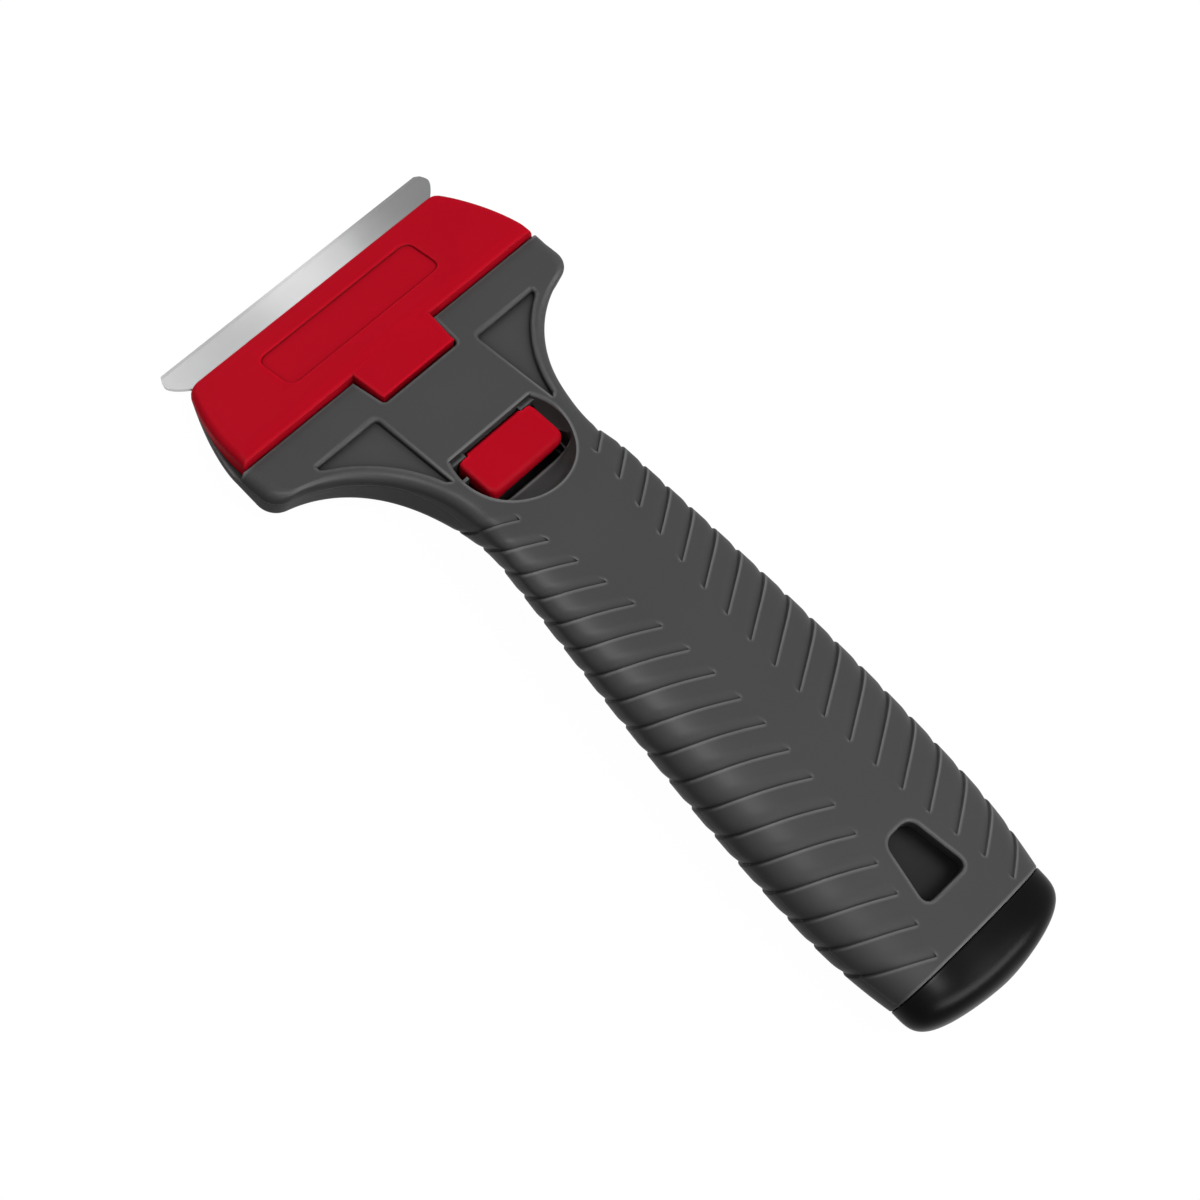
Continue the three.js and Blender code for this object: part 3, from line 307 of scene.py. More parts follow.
def section(x, turn, inset):
    """Half width and height on the body's section; turn is 0 at the top, 1 at the side and 2 below."""
    flat_end = 0.6
    fillet_share = 0.25
    wall_start = 0.85
    wall_share = 0.15
    width = half_width(x) - inset
    middle = widest_height(x)
    grip = ease(x, grip_from_x, grip_full_x)
    rise = top_height(x) - inset - middle
    angle = np.pi / 2 * np.clip(turn, 0, 1)
    fillet = np.minimum(deck_fillet, 0.8 * rise)
    bend = np.pi / 2 * np.clip((turn - flat_end) / fillet_share, 0, 1)
    flat_y = np.minimum(turn / flat_end, 1) * (width - fillet) + fillet * np.sin(bend)
    flat_z = (rise - fillet * (1 - np.cos(bend))) * (1 - np.clip((turn - wall_start) / wall_share, 0, 1))
    upper_y = flat_y + (width * np.sin(angle) ** (2 / crown_power) - flat_y) * grip
    upper_z = flat_z + (rise * np.maximum(np.cos(angle), 0) ** (2 / side_power) - flat_z) * grip
    wall_drop = cheek_wall * (1 - grip)
    share = 0.12 * (1 - grip)
    down = np.clip(turn - 1, 0, 1)
    under = np.pi / 2 * np.clip((down - share) / (1 - share), 0, 1)
    fall = middle - wall_drop - bottom_height(x) - inset
    lower_y = width * np.maximum(np.cos(under), 0) ** (2 / crown_power)
    wall_passed = np.minimum(down / np.maximum(share, 1e-6), 1)
    lower_z = -wall_drop * wall_passed - fall * np.sin(under) ** (2 / side_power)
    return np.where(turn <= 1, upper_y, lower_y), middle + np.where(turn <= 1, upper_z, lower_z)


def groove_depth(station, run):
    """Depth of the raked grooves: a ramp that grows towards the sides, then a steep step."""
    share = np.clip(run / groove_run, 0, 1)
    ramp = groove_ramp + groove_ramp_growth * share
    deepest = groove_deepest + groove_deepening * share
    power = groove_hollow + groove_hollow_growth * share
    depth = np.zeros_like(run)
    for k in range(groove_count):
        past = station - k * groove_pitch
        if -groove_pitch < past <= 0:
            depth = np.maximum(depth, deepest * np.clip(1 + past / ramp, 0, 1) ** power)
        elif 0 < past < groove_step:
            depth = np.maximum(depth, deepest * (1 - ease(past, 0, groove_step)))
    return depth


def body_ring(station, inset, lean, grooved, fine):
    """Points around the body; on the grip they lean forward down the sides, along the grooves."""
    edge = 0.008
    lean_end = 1.45
    place = max(station, 0.0)
    half = groove_pitch * (groove_count - 1) / 2
    band_width = band_waist + (band_end - band_waist) * min(abs(place - half) / half, 1) ** 2
    band = math.asin((band_width / float(grip_width(place))) ** (crown_power / 2)) / (math.pi / 2)
    inner = np.linspace(0, band, 10 if fine else 4)
    outer = np.linspace(band + 0.035, 1, 36 if fine else 8)
    below = np.linspace(1, 2, 24 if fine else 9)[1:]
    turn = np.concatenate([inner, [band + edge / 2, band + edge, band + 0.018], outer, below])
    y, z = section(station, turn, inset)
    steps = np.hypot(np.diff(y), np.diff(z))
    steps[(turn[1:] <= band) | (turn[1:] > lean_end)] = 0
    run = np.concatenate([[0], np.cumsum(steps)])
    x = station - lean * math.tan(groove_rake) * run * (1 - groove_ease * run)
    y, z = section(x, turn, inset)
    if grooved:
        mask = ease(turn, band, band + edge) * (1 - ease(turn, 1.5, 1.75))
        sunk = groove_depth(station, run) * mask
        before = section(x, np.maximum(turn - 0.01, 0), inset)
        after = section(x, np.minimum(turn + 0.01, 2), inset)
        along_y = after[0] - before[0]
        along_z = after[1] - before[1]
        length = np.hypot(along_y, along_z)
        y = y + sunk * along_z / length
        z = z - sunk * along_y / length
    right = np.column_stack([x, y, z])
    right[0, 1] = 0
    right[-1, 1] = 0
    left = right[-2:0:-1] * (1, -1, 1)
    return np.concatenate([right, left])


def to_row(points):
    """Places in the shared frame, in metres."""
    return (np.asarray(points, float) - (middle_x, 0, 0)) * 0.001


def from_head(points):
    """Places on the handle from places on the tilted head."""
    p, q, h = np.asarray(points, float).T
    x = deck_front_x + p * tilt_cos - h * tilt_sin
    z = deck_front_z + p * tilt_sin + h * tilt_cos
    return np.column_stack([x, q, z])


def solid(name, points, faces):
    mesh = bpy.data.meshes.new(name)
    mesh.from_pydata(to_row(points).tolist(), [], faces)
    shape = bmesh.new()
    shape.from_mesh(mesh)
    bmesh.ops.recalc_face_normals(shape, faces=shape.faces)
    shape.to_mesh(mesh)
    shape.free()
    made = bpy.data.objects.new(name, mesh)
    bpy.context.scene.collection.objects.link(made)
    return made


def loft(name, rings, tilted=False):
    """Closed skin over rings of equal count, with flat ends; tilted rings are places on the head."""
    if tilted:
        rings = [from_head(ring) for ring in rings]
    count = len(rings[0])
    faces = []
    for i in range(len(rings) - 1):
        for j in range(count):
            a = i * count + j
            b = i * count + (j + 1) % count
            faces.append((a, a + count, b + count, b))
    faces.append(tuple(range(count)))
    last = (len(rings) - 1) * count
    faces.append(tuple(range(last + count - 1, last - 1, -1)))
    return solid(name, np.concatenate(rings), faces)


def rectangle(front, rear, low, high):
    return [(front, low), (rear, low), (rear, high), (front, high)]


def plan_prism(name, outline, low, high, tilted=True):
    """Upright prism over an outline."""
    rings = [np.column_stack([outline, np.full(len(outline), h)]) for h in (low, high)]
    return loft(name, rings, tilted)


def side_prism(name, profile, reach, tilted=True):
    """Prism across the part, from a profile seen from the side."""
    p, h = np.asarray(profile, float).T
    rings = [np.column_stack([p, np.full(len(p), q), h]) for q in (-reach, reach)]
    return loft(name, rings, tilted)


def round_bar(name, radius, start, end, sides, tilted=True):
    """Straight rod between two points along q or along h."""
    start = np.asarray(start, float)
    end = np.asarray(end, float)
    across = abs(end[1] - start[1]) > abs(end[2] - start[2])
    first = np.array((1.0, 0.0, 0.0))
    second = np.array((0.0, 0.0, 1.0) if across else (0.0, 1.0, 0.0))
    angle = np.linspace(0, 2 * np.pi, sides, endpoint=False)
    ring = radius * (np.outer(np.cos(angle), first) + np.outer(np.sin(angle), second))
    return loft(name, [ring + start, ring + end], tilted)


def settle(piece):
    """Turn a piece's modifiers into plain mesh."""
    graph = bpy.context.evaluated_depsgraph_get()
    result = bpy.data.meshes.new_from_object(piece.evaluated_get(graph))
    piece.modifiers.clear()
    old = piece.data
    piece.data = result
    bpy.data.meshes.remove(old)


def carve(piece, tool, operation="DIFFERENCE"):
    """Cut a tool from a piece, join them or keep what they share. The tool is used up."""
    cut = piece.modifiers.new("cut", "BOOLEAN")
    cut.solver = "MANIFOLD"
    cut.operation = operation
    cut.object = tool
    settle(piece)
    bpy.data.meshes.remove(tool.data)
    return piece


def rounded(corners, radius, steps=8):
    """Outline with its corners eased by quadratic bends."""
    corners = [np.array(c, float) for c in corners]
    outline = []
    for i, corner in enumerate(corners):
        before = corners[i - 1] - corner
        after = corners[(i + 1) % len(corners)] - corner
        a = corner + before / np.linalg.norm(before) * radius
        b = corner + after / np.linalg.norm(after) * radius
        for t in np.linspace(0, 1, steps):
            outline.append((1 - t) ** 2 * a + 2 * t * (1 - t) * corner + t * t * b)
    return np.array(outline)


def unit(vector):
    return vector / max(np.hypot(*vector), 1e-9)


def grown(outline, amount):
    """Outline moved outwards by a small amount."""
    before = outline - np.roll(outline, 1, axis=0)
    after = np.roll(outline, -1, axis=0) - outline
    normal = []
    for a, b in zip(before, after):
        normal.append(unit(unit(np.array((a[1], -a[0]))) + unit(np.array((b[1], -b[0])))))
    next_p, next_q = np.roll(outline, -1, axis=0).T
    turn = np.sum(outline[:, 0] * next_q - outline[:, 1] * next_p)
    return outline + np.sign(turn) * amount * np.array(normal)


def flared_prism(outline, low, rim, tops=None):
    """Rings of an upright cutter whose mouth widens to round the rim that it leaves at the surface's tops."""
    tops = np.zeros(len(outline)) if tops is None else tops
    rings = [np.column_stack([outline, np.full(len(outline), low)])]
    for angle in np.linspace(0, np.pi / 2, 6):
        wide = grown(outline, rim * (1 - math.cos(angle)))
        rings.append(np.column_stack([wide, tops - rim + rim * math.sin(angle) + cut_overlap]))
    rings.append(np.column_stack([grown(outline, rim + cut_flare), tops + cut_rise]))
    return rings


def finished(piece, material, angle=32):
    piece.data.materials.clear()
    piece.data.materials.append(material)
    piece.data.shade_smooth()
    piece.data.set_sharp_from_angle(angle=math.radians(angle))
    return piece


def moulded_plastic(name, colour, roughness, specular, highlight_strength, skin, side):
    """Plastic with a faint mottle and spark grain, and painted shade that makes its sides darker than its
    top.

    Its upper edges get a painted highlight, and its corners and recesses painted shade.
    """
    material = bpy.data.materials.new(name)
    material.use_nodes = True
    shader = material.node_tree.nodes["Principled BSDF"]
    start = Value(material.node_tree)
    place = start.node("ShaderNodeTexCoord", {}, {}, "Object")
    mottle = start.node("ShaderNodeTexNoise", {}, {"Vector": place, "Scale": 55.0, "Detail": 3.0}, "Fac")
    grain = start.node("ShaderNodeTexNoise", {}, {"Vector": place, "Scale": 2800.0, "Detail": 2.0}, "Fac")
    darker = tuple(0.92 * c for c in colour) + (1.0,)
    lighter = tuple(1.08 * c for c in colour) + (1.0,)
    tint = start.node("ShaderNodeMix", {"data_type": "RGBA"}, {0: mottle, 6: darker, 7: lighter}, 2)
    inwards = {"samples": 8, "inside": True, "only_local": True}
    depth = start.node("ShaderNodeAmbientOcclusion", inwards, {"Distance": skin}, "AO")
    # Painted highlight: convex upper edges, found by the short inward occlusion, are made paler.
    edge_highlight_mask = start.sum("MINIMUM", start.sum("MAXIMUM", 7.8 - 8.0 * depth, 0.0), 1.0)
    normal = start.node("ShaderNodeTexCoord", {}, {}, "Normal")
    upright = start.node("ShaderNodeSeparateXYZ", {}, {"Vector": normal}, "Z")
    smooth = {"interpolation_type": "SMOOTHSTEP"}
    facing = start.node("ShaderNodeMapRange", smooth, {"Value": upright, "From Max": 0.75})
    outwards = {"samples": 8, "only_local": True}
    openness = start.node("ShaderNodeAmbientOcclusion", outwards, {"Distance": 0.004}, "AO")
    # Painted shade: the colour darkens in creases, corners and recesses where less light reaches.
    painted_crease_shade = 0.15 + 0.85 * openness * openness
    painted_edge_highlight = 1.0 + highlight_strength * edge_highlight_mask * facing
    # Painted shade also darkens the sides against the top, by how far the surface turns from upright.
    shade = painted_crease_shade * (side + (1.0 - side) * facing) * painted_edge_highlight
    multiply = {"data_type": "RGBA", "blend_type": "MULTIPLY"}
    tint = start.node("ShaderNodeMix", multiply, {0: 1.0, 6: tint, 7: shade}, 2)
    eased = start.node("ShaderNodeBevel", {"samples": 6}, {"Radius": 0.0003}, "Normal")
    bump = {"Strength": 0.12, "Distance": 0.00004, "Height": grain, "Normal": eased}
    relief = start.node("ShaderNodeBump", {}, bump)
    start.feed(tint, shader.inputs["Base Color"])
    start.feed(roughness - 0.05 + 0.1 * grain, shader.inputs["Roughness"])
    start.feed(relief, shader.inputs["Normal"])
    shader.inputs["Specular IOR Level"].default_value = specular
    return material


grey_plastic = moulded_plastic(
    "grey_plastic", (0.0755, 0.0755, 0.0755),
    roughness=0.42, specular=0.035, highlight_strength=1.4, skin=0.00068, side=0.55,
)

plain_end_x = -5.2
lean_angle = math.asin((neck_x - grip_from_x) / flank_radius)
stations = np.concatenate([
    np.linspace(jaw_front_x, shoulder_x, 44),
    shoulder_x + shoulder_radius * np.sin(np.linspace(0, bend_angle, 20)[1:]),
    neck_x - flank_radius * np.sin(np.linspace(bend_angle, lean_angle, 50)[1:]),
    np.linspace(grip_from_x, plain_end_x, 20)[1:],
])
ring_list = [body_ring(s, 0, max(1 - s / grip_from_x, 0), True, True) for s in stations]
groove_steps = (
    -4.3, -3.5, -2.8, -2.2, -1.7, -1.25, -0.9, -0.6, -0.35, -0.15, 0.0,
    0.05, 0.1, 0.15, 0.2, 0.27, 0.75,
)
for k in range(groove_count):
    for step in groove_steps:
        s = k * groove_pitch + step
        ring_list.append(body_ring(s, 0, min(1 - s / grip_from_x, 1.0), True, True))
grooves_end = (groove_count - 1) * groove_pitch + groove_steps[-1]
smooth_end = handle_length - end_rim
for share in np.linspace(0, 1, 9)[1:]:
    ring_list.append(body_ring(grooves_end + (smooth_end - grooves_end) * share, 0, 1 - share, True, True))
for angle in np.linspace(0, np.pi / 2, 7)[1:]:
    x = smooth_end + end_rim * math.sin(angle)
    ring_list.append(body_ring(x, end_rim * (1 - math.cos(angle)), 0, False, True))


def body_half(name, above):
    """The whole body cut along the shells' seam."""
    body = loft(name, ring_list)
    offset = seam_half_gap if above else -seam_half_gap
    slope = math.tan(head_tilt)
    drop = seat_depth / tilt_cos
    kink = (seam_height - deck_at_neck + drop) / slope
    seam = [(x, min(deck_at_neck + x * slope - drop, seam_height) + offset) for x in (-far, kink, far)]
    limit = far if above else -far
    return carve(body, side_prism("seam", seam + [(far, limit), (-far, limit)], far, False), "INTERSECT")


def handle_hollow():
    front = groove_pitch + wall / 2
    rings = [body_ring(x, wall, 0, False, False) for x in np.linspace(front, handle_length + 1, 16)]
    return loft("hollow", rings)


screw_places = [(x, sign * y) for x, y in ((-15.0, 12.3), (16.0, 8.0), (84.0, 13.4)) for sign in (-1, 1)]
boss_radius = 2.2

upper_shell = body_half("upper_shell_moulding", True)
hollow = handle_hollow()
for x, y in screw_places[2:]:
    carve(hollow, round_bar("boss", boss_radius, (x, y, -5), (x, y, 40), 24, False))
carve(upper_shell, hollow)

front_rim = 0.6
front_edge = [(-60, -40), (0, -40)]
for angle in np.linspace(0, np.pi / 2, 6):
    height = -front_rim + front_rim * math.sin(angle) + cut_overlap
    front_edge.append((front_rim * (1 - math.cos(angle)), height))
front_edge += [(front_rim + cut_flare, 20), (-60, 20)]
carve(upper_shell, side_prism("front", front_edge, 80))

notch_length = 6.75
notch_front_half_width = 9.6
notch_rear_half_width = 8.85
notch_corner = 0.7
notch_rim = 0.6
notch_corners = [
    (-6, -notch_front_half_width),
    (0, -notch_front_half_width),
    (notch_length, -notch_rear_half_width),
    (notch_length, notch_rear_half_width),
    (0, notch_front_half_width),
    (-6, notch_front_half_width),
]
notch_rings = flared_prism(rounded(notch_corners, notch_corner), -40, notch_rim)
carve(upper_shell, loft("notch", notch_rings, True))

bridge = 1.8
channel_half_width = 9.2
pin_p = 9.5
barrel_room = 2.05
well_rear = 33.4
well_half_width = 9.5
well_corner = 0.9


def pin_bar(name, radius, reach):
    """Rod on the axis of the lid's pin."""
    return round_bar(name, radius, (pin_p, -reach, -seat_depth), (pin_p, reach, -seat_depth), 32)


channel = rectangle(4, well_rear, -channel_half_width, channel_half_width)
carve(upper_shell, plan_prism("channel", channel, -45, -bridge))
carve(upper_shell, pin_bar("barrel_room", barrel_room, channel_half_width))

triangle_front = 8.1
triangle_inner = 12.3
triangle_rear = 25.8
triangle_blunt = 1.4
triangle_rim = 3.0
triangle_depth = 1.0
triangle_flare = 0.85
for sign in (-1, 1):
    p = np.linspace(triangle_front, triangle_rear - 0.6, 32)
    q = flank_half_width(deck_front_x + p * tilt_cos, triangle_rim)
    side = [(a, sign * np.clip(b, triangle_inner + 0.2, q[0] - triangle_blunt)) for a, b in zip(p, q)]
    corners = [(triangle_front, sign * triangle_inner)] + side + [(triangle_rear, sign * triangle_inner)]
    outline = np.array(corners)
    eased = np.concatenate([rounded(outline[[-1, 0, 1]], 0.8, 6)[6:12], outline[1:]])
    carve(upper_shell, loft("triangle", flared_prism(eased, -triangle_depth, triangle_flare), True))

dish_p = 28.0
dish_radius = 11.5
dish_depth = 4.5
dish_rim = 0.7
dish_front = 22.9
dish_power = 9
bowl = []
for share in np.sin(np.linspace(0.03, np.pi / 2, 26)):
    height = -dish_rim + (dish_depth - dish_rim) * (share**dish_power - 1)
    bowl.append(((dish_radius - dish_rim) * share, height))
for angle in np.linspace(0, np.pi / 2, 7)[1:]:
    height = -dish_rim + dish_rim * math.sin(angle) + cut_overlap
    bowl.append((dish_radius - dish_rim * math.cos(angle), height))
bowl.append((dish_radius + cut_flare, cut_rise))
around = np.linspace(0, 2 * np.pi, 128, endpoint=False)
rings = []
for radius, height in bowl:
    p = dish_p + radius * np.cos(around)
    rings.append(np.column_stack([p, radius * np.sin(around), np.full(len(around), height)]))
dish = loft("dish", rings, True)
carve(dish, plan_prism("dish_front", rectangle(dish_front, 60, -30, 30), -40, 40), "INTERSECT")
carve(upper_shell, dish)
well = rectangle(dish_front + 0.01, well_rear, -well_half_width, well_half_width)
carve(upper_shell, plan_prism("well", rounded(well, well_corner, 6), -45, 2))

window_front = 80.1
window_rear = 92.4
window_front_half_width = 3.1
window_rear_half_width = 5.3
window_corner = 2.2
window_floor = 14.0
window_rim = 0.6
window_corners = [
    (window_front, -window_front_half_width),
    (window_rear, -window_rear_half_width),
    (window_rear, window_rear_half_width),
    (window_front, window_front_half_width),
]
window_outline = rounded(window_corners, window_corner, 10)
fine_turn = np.linspace(0, 1, 400)
window_tops = []
for x, y in grown(window_outline, window_rim / 2):
    across, height = section(x, fine_turn, 0)
    window_tops.append(float(np.interp(abs(y), across, height)))
window_rings = flared_prism(window_outline, window_floor, window_rim, np.array(window_tops))
carve(upper_shell, loft("window", window_rings))

rib_foot = -5.0
guide_rib_top = -0.9
stop_rib_top = -1.6
for sign in (-1, 1):
    guide_rib = rectangle(22.4, 23.8, sign * 6.6, sign * 10.0)
    carve(upper_shell, plan_prism("guide_rib", guide_rib, rib_foot, guide_rib_top), "UNION")
stop_rib = rectangle(26.4, 27.0, -9.1, -11.2)
carve(upper_shell, plan_prism("stop_rib", stop_rib, rib_foot, stop_rib_top), "UNION")

finished(upper_shell, grey_plastic)
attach(upper_shell, "handle")
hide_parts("upper_shell")

# Lower shell
# The bottom half of the handle in the same grey plastic. Its front is the jaw under the blade, its inside
# holds the lever's channel and the tray's rails, and its belly has a flat to lie on.

lever_room_half_width = 8.5
lever_room_floor = 5.0
button_room_half_width = 9.1
button_room_floor = -7.9
spring_p = 25.0
spring_x = deck_front_x + spring_p * tilt_cos
spring_floor = 4.3
spring_pocket = 4.2
tray_bottom = 1000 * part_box("blade_tray")[0].z
foot_radius = 3.4
foot_top = tray_bottom - 0.31
rail_front = 26.0
rail_rear = 93.2
rail_inner = 7.2
rail_outer = 8.8
rail_top = tray_bottom - 0.3
screw_seat = 6.6
screw_room = 2.4

lower_shell = body_half("lower_shell_moulding", False)
carve(lower_shell, side_prism("table", rectangle(-far, far, 0, far), far, False), "INTERSECT")
hollow = handle_hollow()
for x, y in screw_places[2:]:
    carve(hollow, round_bar("boss", boss_radius, (x, y, -5), (x, y, 40), 24, False))
    carve(hollow, round_bar("boss_foot", foot_radius, (x, y, -5), (x, y, foot_top), 24, False))
for sign in (-1, 1):
    rail = rectangle(rail_front, rail_rear, sign * rail_inner, sign * rail_outer)
    carve(hollow, plan_prism("rail", rail, -20, rail_top, False))
carve(lower_shell, hollow)
lever_room_front = deck_front_x + 1.0
lever_room_rear = deck_front_x + 34.0 * tilt_cos
lever_room = rectangle(lever_room_front, lever_room_rear, -lever_room_half_width, lever_room_half_width)
carve(lower_shell, plan_prism("channel", lever_room, lever_room_floor, 60, False))
button_room = rectangle(dish_front, well_rear, -button_room_half_width, button_room_half_width)
carve(lower_shell, plan_prism("button_room", button_room, button_room_floor, 40))
spring_ends = (spring_x, 0, spring_floor), (spring_x, 0, 20)
carve(lower_shell, round_bar("spring_pocket", spring_pocket, *spring_ends, 40, False))
for x, y in screw_places:
    carve(lower_shell, round_bar("screw_seat", screw_room, (x, y, -5), (x, y, screw_seat), 32, False))
finished(lower_shell, grey_plastic)
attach(lower_shell, "handle")
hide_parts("lower_shell")

# Pivot pin and blade pegs
# Plain steel rods, cut and plated: the pin lies across the head in the shells' seam, and the pegs stand in
# the jaw and locate the blade by its holes.


def plated_steel(name, colour):
    """Bright plating with a faint cloud and fine turning marks."""
    material = bpy.data.materials.new(name)
    material.use_nodes = True
    shader = material.node_tree.nodes["Principled BSDF"]
    start = Value(material.node_tree)
    place = start.node("ShaderNodeTexCoord", {}, {}, "Object")
    cloud = start.node("ShaderNodeTexNoise", {}, {"Vector": place, "Scale": 220.0, "Detail": 3.0}, "Fac")
    marks = start.node("ShaderNodeTexNoise", {}, {"Vector": place, "Scale": 3500.0, "Detail": 1.0}, "Fac")
    darker = tuple(0.85 * c for c in colour) + (1.0,)
    lighter = tuple(1.1 * c for c in colour) + (1.0,)
    tint = start.node("ShaderNodeMix", {"data_type": "RGBA"}, {0: cloud, 6: darker, 7: lighter}, 2)
    relief = start.node("ShaderNodeBump", {}, {"Strength": 0.1, "Distance": 0.00002, "Height": marks})
    start.feed(tint, shader.inputs["Base Color"])
    start.feed(0.26 + 0.14 * cloud, shader.inputs["Roughness"])
    start.feed(relief, shader.inputs["Normal"])
    shader.inputs["Metallic"].default_value = 1.0
    return material


plating = plated_steel("plated_steel", (0.34, 0.35, 0.37))
for name in ("lid_pivot_pin", "blade_peg_1", "blade_peg_2"):
    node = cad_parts[name]
    node.data.materials.clear()
    node.data.materials.append(plating)

# Clamp spring
# A coil of round steel wire, wound cold and set on the channel's floor under the lever.
# It shortens as the lid opens.

spring_radius = 3.2
spring_wire = 0.7
spring_turns = 3
spring_height = 5.0
spring_foot = spring_floor + 0.3
around = np.linspace(0, 2 * np.pi, 12, endpoint=False)
rings = []
for share in np.linspace(0, 1, 28 * spring_turns + 1):
    angle = 2 * math.pi * spring_turns * share
    outward = np.array((math.cos(angle), math.sin(angle), 0.0))
    height = spring_foot + spring_wire / 2 + (spring_height - spring_wire) * share
    centre = spring_radius * outward + (spring_x, 0, height)
    ring = np.outer(np.cos(around), outward) + np.outer(np.sin(around), (0, 0, 1))
    rings.append(centre + spring_wire / 2 * ring)
clamp_spring = finished(loft("clamp_spring_coil", rings), plating, 50)
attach(clamp_spring, "handle")
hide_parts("clamp_spring")
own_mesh(clamp_spring)

# Scraper blade
# A stamped strip of hardened steel with rounded ends, a satin ground face and a ground cutting edge.
# It lies on the jaw, over the pegs and under the lid.

blade_half_width = 31.75
blade_tang_half_width = 28.5
blade_length = 19.0
blade_thickness = 0.6
blade_reach = 25.1
blade_bevel = 0.9
blade_edge = 0.1
blade_height = -seat_depth + 0.05
bulge_length = 6
bulge_widest = 2.4
peg_p = -12.5
peg_q = 16
peg_hole = 1.6


def satin_steel(name, stops):
    """Steel ground along the blade's length, with painted reflection in broad soft bands across it."""
    material = bpy.data.materials.new(name)
    material.use_nodes = True
    shader = material.node_tree.nodes["Principled BSDF"]
    start = Value(material.node_tree)
    place = start.node("ShaderNodeTexCoord", {}, {}, "Object")
    along = start.node("ShaderNodeMapping", {}, {"Vector": place, "Scale": (9000.0, 160.0, 9000.0)})
    lines = start.node("ShaderNodeTexNoise", {}, {"Vector": along, "Scale": 1.0, "Detail": 3.0}, "Fac")
    across = start.node("ShaderNodeSeparateXYZ", {}, {"Vector": place}, "Y")
    cloud = start.node("ShaderNodeTexNoise", {}, {"Vector": place, "Scale": 130.0, "Detail": 2.0}, "Fac")
    ramp = material.node_tree.nodes.new("ShaderNodeValToRGB")
    ramp.color_ramp.interpolation = "B_SPLINE"
    ramp.color_ramp.elements.remove(ramp.color_ramp.elements[1])
    ramp.color_ramp.elements[0].color = (stops[0][1], stops[0][1], stops[0][1], 1.0)
    for position, shade in stops:
        stop = ramp.color_ramp.elements.new(position)
        stop.color = (shade, shade, 1.01 * shade, 1.0)
    # The ramp paints reflection on the blade: lighter in the middle, darker towards the +Y end.
    across_share = across * (0.5 / 0.032)
    start.feed(0.47 + across_share + 0.06 * cloud, ramp.inputs["Fac"])
    tint = Value(material.node_tree, ramp.outputs["Color"])
    relief = start.node("ShaderNodeBump", {}, {"Strength": 0.15, "Distance": 0.00001, "Height": lines})
    start.feed(tint, shader.inputs["Base Color"])
    start.feed(0.26 + 0.16 * lines, shader.inputs["Roughness"])
    start.feed(relief, shader.inputs["Normal"])
    shader.inputs["Metallic"].default_value = 1.0
    return material


# Painted reflection: lighter and darker bands of the blade's colour along its length.
painted_reflection_bands = [(0.05, 0.42), (0.27, 0.33), (0.48, 0.61), (0.66, 0.47), (0.78, 0.23), (0.95, 0.19)]
blade_steel = satin_steel("blade_steel", painted_reflection_bands)
bulge_p = np.linspace(0, bulge_length, 25)
bulge_bend = np.where(bulge_p < bulge_widest, 1.01, 1.5)
bulge_q = blade_half_width - 0.28 * np.abs(bulge_p - bulge_widest) ** 1.6 * bulge_bend
bulge = [(p, max(q, blade_tang_half_width)) for p, q in zip(bulge_p, bulge_q)]
end = bulge + [(blade_length, blade_tang_half_width)]
outline = np.array(end + [(p, -q) for p, q in reversed(end)]) + (-blade_reach, 0)
blade_top = blade_height + blade_thickness
blade = plan_prism("blade_strip", outline, blade_height, blade_top)
ground = [
    (-blade_reach - 1, blade_height + 3),
    (-blade_reach - 1, blade_height + blade_edge),
    (-blade_reach, blade_height + blade_edge),
    (-blade_reach + blade_bevel, blade_top),
    (-blade_reach + blade_bevel, blade_height + 3),
]
carve(blade, side_prism("ground", ground, 60))
for sign in (-1, 1):
    carve(blade, round_bar("peg_hole", peg_hole, (peg_p, sign * peg_q, -6), (peg_p, sign * peg_q, 2), 32))
finished(blade, blade_steel, 12)
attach(blade, "handle")
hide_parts("scraper_blade")

# Clamp lid
# Red moulded plastic over the blade, with a plain sunk panel and a tab in the deck's notch. Its lever runs on
# under the deck to the button, and its barrel below the deck's bridge turns on the pin.

lid_reach = 18.95
lid_front_half_width = 29.5
lid_rear_half_width = 34.8
lid_rear_p = -0.28
lid_base = -seat_depth + 0.3
lid_front_height = -0.4
lid_ridge_p = -2.4
lid_ridge_height = 1.65
tab_front_p = -3
tab_rear_p = notch_length - 0.45
tab_rear_height = 0.7
tab_front_half_width = 9.3
tab_rear_half_width = 8.55
lid_corner = 1
lid_end_fillet = 1.5
lid_front_rim = 0.6
lid_rear_rim = 0.4
lid_ridge_blend = 0.12


def lid_top(p):
    front_share = (p + lid_reach) / (lid_ridge_p + lid_reach)
    rear_share = (p - lid_ridge_p) / (tab_rear_p - lid_ridge_p)
    front = lid_front_height + (lid_ridge_height - lid_front_height) * front_share
    rear = lid_ridge_height + (tab_rear_height - lid_ridge_height) * rear_share
    return soft_min(front, rear, lid_ridge_blend)


